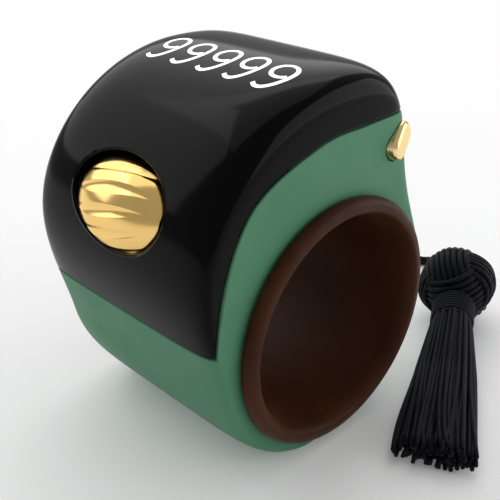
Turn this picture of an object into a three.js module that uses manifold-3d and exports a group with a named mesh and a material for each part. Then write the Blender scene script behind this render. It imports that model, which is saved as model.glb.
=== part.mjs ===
// Finger tally counter: a ring worn on one finger, with a lit count and a bead that the thumb rolls.
// Millimetres, +Z up. The finger passes along Y, the bead faces -X and the cord leaves at +X.
import * as THREE from 'three';
import { mergeVertices } from 'three/addons/utils/BufferGeometryUtils.js';
import Module from 'manifold-3d';

const wasm = await Module();
wasm.setup();

// Finger hole and liner
const FINGER_RADIUS = 9.75;
const LINER_WALL = 0.9;
const LIP_RADIUS = 11.5;
const LIP_DEPTH = 1.05;
const SEAT_GAP = 0.25;

// Ring frame
const HALF_WIDTH = 11.1;
const FRAME_RADIUS = 13.3;
const HOLE_HEIGHT = 12.2;
const SLEEVE_WALL = 1;
const FRAME_WALL = 1.5;
const FRONT_FLOOR = 4.5;
const REAR_FLOOR = 10.2;

// Cap over the display and the bead
const CAP_HEIGHT = 21.9;
const CAP_FRONT = 15.1;
const CAP_FRONT_HEIGHT = 7.5;
const CAP_REAR = 9.3;
const CAP_REAR_HEIGHT = 15.4;
const CAP_WALL = 1.3;
const CROWN_PEAK_X = 0.5;
const CROWN_REAR_PULL = [8.3, 20.4, 7];
const CROWN_FRONT_PULL = 9.4;
const FRONT_FACE_PULL = 7.5;
const FRONT_FOOT_PULL = 3.5;
const FRONT_FOOT_LEAN = 0.75;
const REAR_FACE_PULL = 4.9;
const REAR_FACE_BOW = 0.7;
const REAR_FOOT_LEAN = 1.2;
const REAR_FOOT_PULL = 2.7;
const RING_START_ANGLE = 192;
const RING_END_ANGLE = 372;
const SHOULDER_TOP = 5;
const SHOULDER_RING = 1.6;
const SHOULDER_FRONT = 1.8;
const SHOULDER_POWER = 5.4;
const REAR_SHOULDER_ANGLES = [20, 75];
const FRONT_SHOULDER_ANGLES = [100, 150];
const LOWER_SHOULDER_ANGLES = [175, 240];
const SEAM_RADIUS = 16.2;
const SEAM_RISE = 0.7;
const SEAM_REAR_RISE = 0.3;
const SEAM_TURN = 125;
const SEAM_FRONT = 13.6;
const SEAM_END_HEIGHT = 2.2;
const SEAM_END_DROP = 3;
const SEAM_TURN_PULL = [2.6, 1.9];
const SEAM_FRONT_PULL = 4.3;
const SEAM_GAP = 0.15;

// Bead and its window
const BEAD_RADIUS = 4.1;
const BEAD_LENGTH = 10.2;
const BEAD_TAPER_HALF = 5.9;
const BEAD_TAPER_POWER = 2.2;
const BEAD_SINK = 2.6;
const BEAD_RISE = 0.05;
const BEAD_BORE_RADIUS = 1.6;
const BEAD_SCOOPS = 13;
const SCOOP_DEPTH = 0.22;
const SCOOP_SHARE = 0.56;
const SCOOP_HALF_LENGTH = 4.6;
const SCOOP_TWIST = 0.055;
const WINDOW_HALF_LENGTH = 5.75;
const WINDOW_HALF_HEIGHT = 3.95;
const WINDOW_ANGLE = 139;
const WINDOW_TILT = 30.8;
const AXLE_RADIUS = 0.6;
const RUNNING_GAP = 0.1;
const BUSH_LENGTH = 1.9;
const MAGNET_LENGTH = 5;

// Bead cradle
const CHEEK_GAP = 0.3;
const CHEEK_THICKNESS = 0.75;
const CRADLE_GAP = 0.25;
const CRADLE_WALL = 0.7;
const CRADLE_START = -8;
const CRADLE_END = 60;
const CRADLE_FOOT_X = -6;
const CRADLE_FOOT_WIDTH = 2.5;
const CRADLE_FOOT_HEIGHT = 1.8;
const CRADLE_SCREW_Y = 3.5;
const CRADLE_MOUTH = 0.8;
const CRADLE_EYE_RADIUS = 1.5;
const SPRING_SLOT_ANGLES = [39, 90];
const SPRING_THICKNESS = 0.18;
const SPRING_WIDTH = 2.4;
const SPRING_GAP = 0.12;

// Screws
const CASE_SCREW_RADIUS = 0.7;
const CASE_SCREW_LENGTH = 7.6;
const CRADLE_SCREW_RADIUS = 0.55;
const CRADLE_SCREW_LENGTH = 2.4;
const SCREW_CLEARANCE = 0.15;
const SCREW_HEAD_RATIO = 1.75;
const SCREW_HEAD_HEIGHT = 0.75;
const POST_WALL = 0.7;
const POST_INSET = 1.75;
const POST_Y = HALF_WIDTH - FRAME_WALL - POST_INSET;
const POST_REACH = 8;
const REAR_POST_X = 3.85;
const FRONT_POST_X = -7.6;
const REAR_POST_TOP = 15.6;
const FRONT_POST_TOP = 13.5;

// Battery, board and display
const BATTERY_SIZE = [8, 12.4, 2.2];
const SHELF_TOP = 12.15;
const BOARD_CLEARANCE = 0.7;
const BOARD_SIZE = [7.8, 2 * (HALF_WIDTH - FRAME_WALL - BOARD_CLEARANCE), 0.8];
const BOARD_CENTRE_X = -1.9;
const BOARD_BOTTOM = 15.6;
const RAIL_DEPTH = 1;
const RAIL_LENGTH = 6;
const RAIL_CENTRE_X = -1;
const RAIL_HEIGHT = 1.2;
const RAIL_ROOT = 0.2;
const SHELF_HEIGHT = 1.4;
const FOOT_PAD_HEIGHT = 2;
const FOOT_PAD_RISE = 0.7;
const FOOT_PAD_MARGIN = 1.3;
const CHIP_SIZE = [4, 5, 0.5];
const PANEL_MARGIN = 0.6;
const PANEL_SIZE = [6.2, BOARD_SIZE[1] - 2 * PANEL_MARGIN, 1.1];
const PANEL_CENTRE_X = -2.4;
const PANEL_TOP = 18.85;
const PANEL_TILT = 9;
const HOLDER_CLEARANCE = 0.2;
const LEAD_THICKNESS = 0.15;
const LEAD_WIDTH = 3;
const SENSOR_ANGLE = 50;
const SENSOR_SIZE = [0.6, 1.6, 1.4];
const SENSOR_LEAD_WIDTH = 1.5;

// Side button
const BUTTON_ANGLE = 62.8;
const BUTTON_RADIAL = 16.5;
const BUTTON_TURN = 63;
const BUTTON_LENGTH = 3.6;
const BUTTON_WIDTH = 2.4;
const BUTTON_PROUD = 0.5;
const BUTTON_TRAVEL = 0.4;
const BUTTON_DEPTH = 1.75;
const BUTTON_FLANGE = 0.35;
const FLANGE_THICKNESS = 0.5;
const BUTTON_CLEARANCE = 0.12;
const BUTTON_EDGE = 0.4;
const BUTTON_EDGE_HEIGHT = 0.3;
const BUTTON_OUT = new THREE.Vector3(0.26, -0.96, 0.07).normalize();
const BUTTON_RISE = new THREE.Vector3(-0.27, 0, 0.963);
const RIB_SIZE = [8.9, 1.6, 0.8];
const RIB_SHIFT = 2.2;
const RIB_GAP = 0.15;
const DOME_RADIUS = 0.6;
const DOME_HEIGHT = 0.5;
const SWITCH_SIZE = [2.2, 1.6, 0.8];

// Charging pins
const PIN_RADIUS = 0.75;
const PIN_LENGTH = 2.3;
const PIN_PITCH = 3.2;
const PIN_HEIGHT = 13;
const PIN_PROUD = 0.1;
const PIN_AXIS = new THREE.Vector3(0.97, 0, 0.24).normalize();
const CHARGE_LEAD_MARGIN = 0.7;

// Cord, eyelet and tassel
const CORD_RADIUS = 0.6;
const CORD_GAP = 0.3;
const EYELET_ANGLE = -25;
const EYELET_WALL = 0.35;
const EYELET_FLANGE_RADIUS = 1.9;
const EYELET_FLANGE = 0.7;
const EYELET_SEAT = 13;
const KNOT_RADIUS = 1.2;
const KNOT_POCKET = 1.35;
const HEAD_RADIUS = 4.5;
const HEAD_CENTRE = [25.4, -8];
const TASSEL_HEADING = 210;
const NECK_LENGTH = 3;
const NECK_RADIUS = 2.3;
const SKIRT_LENGTH = 19;
const SKIRT_END_WIDTH = 3.9;
const SKIRT_END_HEIGHT = 1.3;
// Chosen by hand: leaves the eyelet straight, drops, lies on the surface and comes round to the head.
const CORD_POINTS = [
  [12.78, 0, -5.96], [15.2, 0, -7.1], [16.6, 0.1, -7.95], [17.8, 0.4, -9.1], [19, 0.9, -10.4],
  [20.6, 1.6, -11.3], [22.6, 2.5, -11.6], [25, 3.5, -11.6], [27.6, 4.1, -11.6], [30.2, 4, -11.6],
  [32.4, 3.4, -11.6], [34, 1.9, -11.6], [34.4, 0.1, -11.5], [33.8, -1.8, -11.1], [32.4, -3.4, -10.2],
  [30.7, -4.65, -9.49], [29.3, -5.54, -9.02],
];

// Grid counts for curved surfaces
const CROWN_STEPS = 60;
const FINE_RATIO = 16;
const SHOULDER_STEPS = 5;
const ROUND_SIDES = 16;
const SMALL_SIDES = 12;
const BORE_SIDES = 48;
const BEAD_STEPS = 10;
const SCOOP_SIDES = 6;
const CORD_STEP_RATIO = 3.6;
const CORD_SIDES = 4;
const SEAM_STEPS = 32;

const SLIGHT = 0.05;
const LINER_RADIUS = FINGER_RADIUS + LINER_WALL;
const SLEEVE_INNER = LINER_RADIUS + SEAT_GAP;
const SLEEVE_OUTER = SLEEVE_INNER + SLEEVE_WALL;
const FAR = 40;

const finish = (color, roughness, metalness = 0) =>
  new THREE.MeshStandardMaterial({ color, roughness, metalness });
const MATERIALS = {
  blackGloss: finish(0x0b0b0c, 0.08),
  green: finish(0x4f8565, 0.6),
  brown: finish(0x3b2a20, 0.5),
  gold: finish(0xd9a441, 0.22, 1),
  steel: finish(0xb8bbc0, 0.3, 1),
  magnet: finish(0x55585c, 0.4, 1),
  grey: finish(0x3c3f42, 0.6),
  board: finish(0x1f5a3a, 0.5),
  chip: finish(0x17181a, 0.5),
  foil: finish(0x9ea3a8, 0.45, 0.6),
  lead: finish(0xb06a24, 0.5),
  rubber: finish(0x2b2b2d, 0.8),
  thread: finish(0x16161d, 0.85),
};

const rad = THREE.MathUtils.degToRad;
const smooth = THREE.MathUtils.smoothstep;

// Vertices and triangles that share them, to a solid that can be cut and joined.
function solidFrom(positions, index) {
  return new wasm.Manifold(new wasm.Mesh({
    numProp: 3,
    vertProperties: new Float32Array(positions),
    triVerts: new Uint32Array(index),
  }));
}

// Closed geometry to a solid, and back.
function solid(geometry) {
  const bare = geometry.clone();
  bare.deleteAttribute('normal');
  bare.deleteAttribute('uv');
  const merged = mergeVertices(bare, 1e-4);
  return solidFrom(merged.attributes.position.array, merged.index.array);
}

function geometryOf(shape) {
  const mesh = shape.getMesh();
  const geometry = new THREE.BufferGeometry();
  geometry.setAttribute('position', new THREE.BufferAttribute(mesh.vertProperties, 3));
  geometry.setIndex(new THREE.BufferAttribute(mesh.triVerts, 1));
  geometry.computeVertexNormals();
  return geometry;
}

function box(sizeX, sizeY, sizeZ, x, y, z) {
  return solid(new THREE.BoxGeometry(sizeX, sizeY, sizeZ).translate(x, y, z));
}

// Cylinder along Y, X or Z, centred on the given point.
function rod(radius, length, axis, centre, sides = ROUND_SIDES) {
  const geometry = new THREE.CylinderGeometry(radius, radius, length, sides);
  const turn = new THREE.Quaternion().setFromUnitVectors(new THREE.Vector3(0, 1, 0), axis);
  return solid(geometry.applyQuaternion(turn).translate(centre.x, centre.y, centre.z));
}

// Shape drawn in X and Z, extruded along Y.
function slab(shape, fromY, toY, curveSegments = 12) {
  const settings = { depth: toY - fromY, bevelEnabled: false, curveSegments };
  const geometry = new THREE.ExtrudeGeometry(shape, settings);
  return solid(geometry.rotateX(Math.PI / 2).translate(0, toY, 0));
}

function polygon(points) {
  return new THREE.Shape(points.map(([x, z]) => new THREE.Vector2(x, z)));
}

const AXIS_Y = new THREE.Vector3(0, 1, 0);
const AXIS_Z = new THREE.Vector3(0, 0, 1);
const polar = (radius, degrees, y = 0) =>
  new THREE.Vector3(radius * Math.cos(rad(degrees)), y, radius * Math.sin(rad(degrees)));

// Outline of the body's crown in X and Z: ring below, slanted rear face, domed top, full front.
function crownPath() {
  const rearStart = polar(FRAME_RADIUS, RING_END_ANGLE);
  const frontEnd = polar(FRAME_RADIUS, RING_START_ANGLE);
  const [rearX, rearZ, peakPull] = CROWN_REAR_PULL;
  const crown = new THREE.Path();
  crown.absarc(0, 0, FRAME_RADIUS, rad(RING_START_ANGLE), rad(RING_END_ANGLE), false);
  crown.bezierCurveTo(rearStart.x - REAR_FOOT_LEAN, rearStart.z + REAR_FOOT_PULL,
    CAP_REAR + REAR_FACE_BOW, CAP_REAR_HEIGHT - REAR_FACE_PULL, CAP_REAR, CAP_REAR_HEIGHT);
  crown.bezierCurveTo(rearX, rearZ, peakPull, CAP_HEIGHT, CROWN_PEAK_X, CAP_HEIGHT);
  crown.bezierCurveTo(-CROWN_FRONT_PULL, CAP_HEIGHT, -CAP_FRONT, CAP_HEIGHT - FRONT_FACE_PULL,
    -CAP_FRONT, CAP_FRONT_HEIGHT);
  crown.bezierCurveTo(-CAP_FRONT, CAP_FRONT_HEIGHT - FRONT_FOOT_PULL, frontEnd.x - FRONT_FOOT_LEAN,
    frontEnd.z + FRONT_FOOT_PULL, frontEnd.x, frontEnd.z);
  return crown;
}
const CROWN = crownPath().getSpacedPoints(CROWN_STEPS).slice(0, CROWN_STEPS);
const FINE_CROWN = crownPath().getSpacedPoints(CROWN_STEPS * FINE_RATIO);

// How far the crown drops to the flat side face, by direction round the finger.
function shoulderDepth(degrees) {
  const angle = (degrees + 360) % 360;
  if (angle < FRONT_SHOULDER_ANGLES[0]) {
    return SHOULDER_RING + (SHOULDER_TOP - SHOULDER_RING) * smooth(angle, ...REAR_SHOULDER_ANGLES);
  }
  if (angle < LOWER_SHOULDER_ANGLES[0]) {
    return SHOULDER_TOP - (SHOULDER_TOP - SHOULDER_FRONT) * smooth(angle, ...FRONT_SHOULDER_ANGLES);
  }
  return SHOULDER_FRONT - (SHOULDER_FRONT - SHOULDER_RING) * smooth(angle, ...LOWER_SHOULDER_ANGLES);
}

// Point on the body's surface, set in by inset. across runs from -1 to 1 along the finger.
function bodyPoint(outline, across, inset) {
  const radius = outline.length();
  const degrees = THREE.MathUtils.radToDeg(Math.atan2(outline.y, outline.x));
  const fullness = (1 - Math.abs(across) ** SHOULDER_POWER) ** (1 / SHOULDER_POWER);
  const scale = (radius - inset - shoulderDepth(degrees) * (1 - fullness)) / radius;
  return new THREE.Vector3(outline.x * scale, across * (HALF_WIDTH - inset), outline.y * scale);
}

function body(inset) {
  const positions = [];
  const index = [];
  const columns = 2 * SHOULDER_STEPS;
  const rows = CROWN.length;
  for (const outline of CROWN) {
    for (let column = 0; column <= columns; column += 1) {
      const across = Math.sin((Math.PI / 2) * (column / SHOULDER_STEPS - 1));
      positions.push(...bodyPoint(outline, across, inset).toArray());
    }
  }
  for (let row = 0; row < rows; row += 1) {
    const here = row * (columns + 1);
    const next = ((row + 1) % rows) * (columns + 1);
    for (let column = 0; column < columns; column += 1) {
      index.push(here + column, here + column + 1, next + column);
      index.push(here + column + 1, next + column + 1, next + column);
    }
  }
  for (const [column, sign] of [[0, -1], [columns, 1]]) {
    const middle = positions.length / 3;
    positions.push(0, sign * (HALF_WIDTH - inset), 0);
    for (let row = 0; row < rows; row += 1) {
      const here = row * (columns + 1) + column;
      const next = ((row + 1) % rows) * (columns + 1) + column;
      index.push(...(sign < 0 ? [middle, here, next] : [middle, next, here]));
    }
  }
  return solidFrom(positions, index);
}

// Everything below the seam between the green frame and the black cap, moved up by gap.
function belowSeam(gap) {
  const radius = SEAM_RADIUS + gap;
  const shape = new THREE.Shape();
  const top = SEAM_RISE + radius;
  shape.moveTo(FAR, -FAR);
  shape.lineTo(FAR, top + (SEAM_REAR_RISE * FAR) / CAP_REAR);
  shape.lineTo(0, top);
  shape.absarc(0, SEAM_RISE, radius, rad(90), rad(SEAM_TURN), false);
  const turn = polar(radius, SEAM_TURN);
  const [pullX, pullZ] = SEAM_TURN_PULL;
  shape.bezierCurveTo(turn.x - pullX, turn.z + SEAM_RISE - pullZ, -SEAM_FRONT - gap,
    SEAM_END_HEIGHT + SEAM_FRONT_PULL, -SEAM_FRONT - gap, SEAM_END_HEIGHT + gap);
  shape.lineTo(-FAR, SEAM_END_HEIGHT - SEAM_END_DROP + gap);
  shape.lineTo(-FAR, -FAR);
  return slab(shape, -FAR, FAR, SEAM_STEPS);
}

const FULL_BODY = body(0);
const BELOW = belowSeam(0);
const BELOW_CAP = belowSeam(SEAM_GAP);
const SLEEVE = rod(SLEEVE_OUTER, 2 * FAR, AXIS_Y, new THREE.Vector3(), BORE_SIDES);
const BORE = rod(SLEEVE_INNER, 2 * FAR, AXIS_Y, new THREE.Vector3(), BORE_SIDES);

// The bead's place: straight in from the middle of its window.
function crownRadius(degrees) {
  const wanted = new THREE.Vector2(Math.cos(rad(degrees)), Math.sin(rad(degrees)));
  const match = (point) => point.dot(wanted) / point.length();
  return FINE_CROWN.reduce((best, point) => (match(point) > match(best) ? point : best)).length();
}
const WINDOW_CENTRE = polar(crownRadius(WINDOW_ANGLE), WINDOW_ANGLE);
const WINDOW_OUT = polar(1, 180 - WINDOW_TILT);
const WINDOW_UP = WINDOW_OUT.clone().cross(AXIS_Y).negate();
const BEAD_CENTRE = WINDOW_CENTRE.clone().addScaledVector(WINDOW_OUT, -BEAD_SINK)
  .addScaledVector(WINDOW_UP, BEAD_RISE);
const nearBead = (radius, degrees, y = 0) => BEAD_CENTRE.clone().add(polar(radius, degrees, y));

const screwHeadRadius = (radius) => radius * SCREW_HEAD_RATIO;
const postRadius = CASE_SCREW_RADIUS + SCREW_CLEARANCE + POST_WALL;

// A screw standing along Z with its head below, its seat at the given height.
function screw(radius, length, x, y, seat) {
  const head = rod(screwHeadRadius(radius), SCREW_HEAD_HEIGHT, AXIS_Z,
    new THREE.Vector3(x, y, seat - SCREW_HEAD_HEIGHT / 2), ROUND_SIDES);
  const shaft = rod(radius, length, AXIS_Z, new THREE.Vector3(x, y, seat + length / 2 - 0.01), SMALL_SIDES);
  const slot = box(0.35, 2 * screwHeadRadius(radius) + 1, 0.5, x, y, seat - SCREW_HEAD_HEIGHT);
  return head.add(shaft).subtract(slot);
}

// The seat height that keeps a head of this size clear of the liner.
function seatHeight(radius, x) {
  const nearEdge = Math.max(0, Math.abs(x) - screwHeadRadius(radius));
  return Math.sqrt(LINER_RADIUS ** 2 - nearEdge ** 2) + SCREW_CLEARANCE + SCREW_HEAD_HEIGHT;
}

const CASE_SCREWS = [
  { x: REAR_POST_X, y: -POST_Y, top: REAR_POST_TOP },
  { x: REAR_POST_X, y: POST_Y, top: REAR_POST_TOP },
  { x: FRONT_POST_X, y: -POST_Y, top: FRONT_POST_TOP },
  { x: FRONT_POST_X, y: POST_Y, top: FRONT_POST_TOP },
].map((post) => ({ ...post, seat: seatHeight(CASE_SCREW_RADIUS, post.x) }));
const CRADLE_SCREWS = [-CRADLE_SCREW_Y, CRADLE_SCREW_Y]
  .map((y) => ({ x: CRADLE_FOOT_X, y, seat: seatHeight(CRADLE_SCREW_RADIUS, CRADLE_FOOT_X) }));

const postAt = (radius, x, y, from, to, sides = ROUND_SIDES) =>
  rod(radius, to - from, AXIS_Z, new THREE.Vector3(x, y, (from + to) / 2), sides);

// Hole for a screw shaft, with room for its head below the seat.
function screwHole(radius, x, y, seat, top) {
  const shaft = postAt(radius + SCREW_CLEARANCE, x, y, 0, top, SMALL_SIDES);
  const head = postAt(screwHeadRadius(radius) + SCREW_CLEARANCE, x, y, 0, seat);
  return shaft.add(head);
}

// Frame of directions at the side button: outward, along the pill and across it.
function buttonPlace() {
  const outline = polar(crownRadius(BUTTON_ANGLE), BUTTON_ANGLE);
  const flat = new THREE.Vector2(outline.x, outline.z);
  const depth = shoulderDepth(BUTTON_ANGLE);
  const fullness = 1 - (flat.length() - BUTTON_RADIAL) / depth;
  const across = -((1 - fullness ** SHOULDER_POWER) ** (1 / SHOULDER_POWER));
  const centre = bodyPoint(flat, across, 0);
  const round = BUTTON_OUT.clone().cross(BUTTON_RISE).normalize();
  if (round.x < 0) round.negate();
  const up = BUTTON_OUT.clone().cross(round).normalize();
  if (up.z < 0) up.negate();
  const along = up.multiplyScalar(Math.cos(rad(BUTTON_TURN)));
  along.addScaledVector(round, Math.sin(rad(BUTTON_TURN))).normalize();
  const sideways = BUTTON_OUT.clone().cross(along).normalize();
  return { centre, matrix: new THREE.Matrix4().makeBasis(along, sideways, BUTTON_OUT).setPosition(centre) };
}
const BUTTON = buttonPlace();

// Pill prism between two depths along the button's outward direction.
function pill(grow, from, to) {
  const half = (BUTTON_LENGTH - BUTTON_WIDTH) / 2;
  const radius = BUTTON_WIDTH / 2 + grow;
  const shape = new THREE.Shape();
  shape.absarc(half, 0, radius, -Math.PI / 2, Math.PI / 2, false);
  shape.absarc(-half, 0, radius, Math.PI / 2, 1.5 * Math.PI, false);
  const settings = { depth: to - from, bevelEnabled: false, curveSegments: 8 };
  const geometry = new THREE.ExtrudeGeometry(shape, settings);
  return solid(geometry.translate(0, 0, from).applyMatrix4(BUTTON.matrix));
}

function buttonBox(size, from) {
  const geometry = new THREE.BoxGeometry(size[0], size[1], size[2]).translate(0, 0, from - size[2] / 2);
  return solid(geometry.applyMatrix4(BUTTON.matrix));
}

const FLANGE_TOP = -BUTTON_DEPTH;
const FLANGE_BOTTOM = FLANGE_TOP - FLANGE_THICKNESS;
const DOME_TOP = FLANGE_BOTTOM - BUTTON_TRAVEL - RUNNING_GAP;
const SWITCH_TOP = DOME_TOP - DOME_HEIGHT;

// Outer surface point of the rear face at a height, for the charging pins.
function rearPoint(height, y) {
  const rear = FINE_CROWN.filter((point) => point.x > 0);
  const miss = (point) => Math.abs(point.y - height);
  const best = rear.reduce((near, point) => (miss(point) < miss(near) ? point : near));
  return new THREE.Vector3(best.x, y, best.y);
}
const PIN_PLACES = [-PIN_PITCH / 2, PIN_PITCH / 2].map((y) => rearPoint(PIN_HEIGHT, y));

const EYELET_OUT = polar(1, EYELET_ANGLE);
const alongEyelet = (distance) => polar(distance, EYELET_ANGLE);
const eyeletOuter = CORD_RADIUS + RUNNING_GAP + EYELET_WALL;
const knotFloor = SLEEVE_INNER + KNOT_POCKET;

function makeFrame() {
  const room = box(FAR, 2 * FAR, FAR, -FAR / 2, 0, FRONT_FLOOR + FAR / 2)
    .add(box(FAR, 2 * FAR, FAR, FAR / 2, 0, REAR_FLOOR + FAR / 2));
  const cavity = body(FRAME_WALL).intersect(room).subtract(SLEEVE);
  const inside = body(FRAME_WALL / 2).intersect(BELOW);
  let frame = FULL_BODY.intersect(BELOW).subtract(cavity);
  for (const post of CASE_SCREWS) {
    frame = frame.add(postAt(postRadius, post.x, post.y, SLEEVE_INNER * 0.7, post.top));
  }
  const shelf = box(BATTERY_SIZE[0] * 0.8, BATTERY_SIZE[1], SHELF_HEIGHT, 0, 0, SHELF_TOP - SHELF_HEIGHT / 2);
  const footPad = box(CRADLE_FOOT_WIDTH, 2 * (CRADLE_SCREW_Y + FOOT_PAD_MARGIN), FOOT_PAD_HEIGHT,
    CRADLE_FOOT_X, 0, CRADLE_SCREWS[0].seat + FOOT_PAD_RISE - FOOT_PAD_HEIGHT / 2);
  frame = frame.add(shelf).add(footPad);
  for (const side of [-1, 1]) {
    const railY = side * (HALF_WIDTH - FRAME_WALL - RAIL_DEPTH / 2 + RAIL_ROOT);
    frame = frame.add(box(RAIL_LENGTH, RAIL_DEPTH + 2 * RAIL_ROOT, RAIL_HEIGHT, RAIL_CENTRE_X, railY,
      BOARD_BOTTOM - SEAT_GAP - RAIL_HEIGHT / 2));
  }
  const ribTop = SWITCH_TOP - SWITCH_SIZE[2] - RIB_GAP;
  const ribGeometry = new THREE.BoxGeometry(...RIB_SIZE).translate(RIB_SHIFT, 0, ribTop - RIB_SIZE[2] / 2);
  frame = frame.add(solid(ribGeometry.applyMatrix4(BUTTON.matrix)).intersect(inside).subtract(SLEEVE));
  for (const post of CASE_SCREWS) {
    frame = frame.subtract(screwHole(CASE_SCREW_RADIUS, post.x, post.y, post.seat, post.top + 1));
  }
  for (const post of CRADLE_SCREWS) {
    frame = frame.subtract(screwHole(CRADLE_SCREW_RADIUS, post.x, post.y, post.seat, post.seat + 2));
  }
  const switchRoom = SWITCH_SIZE.map((length) => length + 2 * BUTTON_CLEARANCE);
  frame = frame.subtract(buttonBox(switchRoom, SWITCH_TOP + BUTTON_CLEARANCE));
  frame = frame.subtract(pill(BUTTON_CLEARANCE, FLANGE_TOP - 2, 3));
  frame = frame.subtract(pill(BUTTON_FLANGE + BUTTON_CLEARANCE, SWITCH_TOP, FLANGE_TOP + 0.15));
  for (const place of PIN_PLACES) {
    frame = frame.subtract(rod(PIN_RADIUS + RUNNING_GAP, 8, PIN_AXIS, place, ROUND_SIDES));
  }
  frame = frame.subtract(rod(eyeletOuter + RUNNING_GAP, 8, EYELET_OUT, alongEyelet(FRAME_RADIUS)));
  frame = frame.subtract(rod(EYELET_FLANGE_RADIUS + RUNNING_GAP, 4, EYELET_OUT, alongEyelet(EYELET_SEAT + 2)));
  frame = frame.subtract(rod(KNOT_RADIUS + 2 * RUNNING_GAP, knotFloor - 9, EYELET_OUT,
    alongEyelet((knotFloor + 9) / 2)));
  const ground = box(2 * FAR, 2 * FAR, FAR, 0, 0, -HOLE_HEIGHT - FAR / 2);
  return frame.subtract(ground).subtract(BORE);
}

function makeCap() {
  let cap = FULL_BODY.subtract(body(CAP_WALL));
  for (const post of CASE_SCREWS) {
    const boss = postAt(postRadius, post.x, post.y, post.top + SEAT_GAP, post.top + POST_REACH)
      .intersect(body(CAP_WALL / 2));
    cap = cap.add(boss);
  }
  cap = cap.subtract(BELOW_CAP.subtract(postRoom()));
  for (const post of CASE_SCREWS) {
    cap = cap.subtract(postAt(CASE_SCREW_RADIUS + SCREW_CLEARANCE, post.x, post.y, 0,
      post.seat + CASE_SCREW_LENGTH + 0.4, SMALL_SIDES));
  }
  const pocket = rod(cradleInner, BEAD_LENGTH + 2 * CHEEK_GAP, AXIS_Y, BEAD_CENTRE, BORE_SIDES);
  return cap.subtract(pocket).subtract(windowCut());
}

// The cap's bosses reach below the seam, inside the frame.
function postRoom() {
  const rooms = CASE_SCREWS.map((post) =>
    postAt(postRadius + SLIGHT, post.x, post.y, post.top + SEAT_GAP, post.top + POST_REACH)
      .intersect(body(FRAME_WALL + RUNNING_GAP)));
  return rooms.reduce((all, room) => all.add(room));
}

// Oval hole square to the window's outward direction.
function windowCut() {
  const geometry = new THREE.CylinderGeometry(1, 1, 8, 48);
  geometry.scale(WINDOW_HALF_HEIGHT, 1, WINDOW_HALF_LENGTH);
  const tangent = WINDOW_OUT.clone().cross(AXIS_Y).normalize();
  const basis = new THREE.Matrix4().makeBasis(tangent, WINDOW_OUT, tangent.clone().cross(WINDOW_OUT));
  return solid(geometry.applyMatrix4(basis).translate(WINDOW_CENTRE.x, 0, WINDOW_CENTRE.z));
}

function makeLiner() {
  const back = HALF_WIDTH + SEAT_GAP;
  const front = back + LIP_DEPTH;
  const outline = new THREE.Path();
  outline.moveTo(LINER_RADIUS, -back);
  outline.lineTo(LIP_RADIUS, -back);
  outline.bezierCurveTo(LIP_RADIUS + 0.05, -front + 0.2, LIP_RADIUS - 0.5, -front, LIP_RADIUS - 1, -front);
  outline.bezierCurveTo(FINGER_RADIUS + 0.4, -front, FINGER_RADIUS, -front + 0.7, FINGER_RADIUS, -back + 0.6);
  outline.lineTo(FINGER_RADIUS, back - 0.6);
  outline.bezierCurveTo(FINGER_RADIUS, front - 0.7, FINGER_RADIUS + 0.4, front, LIP_RADIUS - 1, front);
  outline.bezierCurveTo(LIP_RADIUS - 0.5, front, LIP_RADIUS + 0.05, front - 0.2, LIP_RADIUS, back);
  outline.lineTo(LINER_RADIUS, back);
  outline.lineTo(LINER_RADIUS, -back);
  return new THREE.LatheGeometry(outline.getPoints(4).reverse(), BORE_SIDES);
}

// Radius of the bead at a place along it and an angle round it: a barrel with leaf-shaped scoops.
function beadRadius(y, angle) {
  const barrel = BEAD_RADIUS * Math.sqrt(1 - (Math.abs(y) / BEAD_TAPER_HALF) ** BEAD_TAPER_POWER);
  const left = Math.max(0, 1 - (y / SCOOP_HALF_LENGTH) ** 2);
  const turn = (angle - SCOOP_TWIST * y) / ((2 * Math.PI) / BEAD_SCOOPS);
  const off = (2 * Math.abs(turn - Math.round(turn))) / SCOOP_SHARE;
  return barrel - SCOOP_DEPTH * Math.max(0, left ** 1.5 - off * off);
}

function makeBead() {
  const sides = BEAD_SCOOPS * SCOOP_SIDES;
  const positions = [];
  const index = [];
  for (let ring = 0; ring <= BEAD_STEPS; ring += 1) {
    const y = (BEAD_LENGTH / 2) * Math.sin((Math.PI / 2) * ((2 * ring) / BEAD_STEPS - 1));
    for (let side = 0; side < sides; side += 1) {
      const angle = (2 * Math.PI * side) / sides + SCOOP_TWIST * y;
      const radius = beadRadius(y, angle);
      positions.push(radius * Math.cos(angle), y, radius * Math.sin(angle));
    }
  }
  for (let ring = 0; ring < BEAD_STEPS; ring += 1) {
    for (let side = 0; side < sides; side += 1) {
      const here = ring * sides + side;
      const next = ring * sides + ((side + 1) % sides);
      index.push(here, here + sides, next, next, here + sides, next + sides);
    }
  }
  for (const [ring, sign] of [[0, -1], [BEAD_STEPS, 1]]) {
    const middle = positions.length / 3;
    positions.push(0, (sign * BEAD_LENGTH) / 2, 0);
    for (let side = 0; side < sides; side += 1) {
      const here = ring * sides + side;
      const next = ring * sides + ((side + 1) % sides);
      index.push(...(sign < 0 ? [middle, here, next] : [middle, next, here]));
    }
  }
  const bore = rod(BEAD_BORE_RADIUS, 2 * BEAD_LENGTH, AXIS_Y, new THREE.Vector3());
  return solidFrom(positions, index).subtract(bore);
}

// Ring between two radii, along the bead's axis.
function sleeveRing(inner, outer, from, to) {
  const middle = new THREE.Vector3(0, (from + to) / 2, 0);
  return rod(outer, to - from, AXIS_Y, middle).subtract(rod(inner, 2 * (to - from), AXIS_Y, middle, 16));
}

const cheekFrom = BEAD_LENGTH / 2 + CHEEK_GAP;
const cheekTo = cheekFrom + CHEEK_THICKNESS;
const cradleInner = BEAD_RADIUS + CRADLE_GAP;
const cradleOuter = cradleInner + CRADLE_WALL;
const footBottom = CRADLE_SCREWS[0].seat + FOOT_PAD_RISE + SEAT_GAP;

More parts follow.
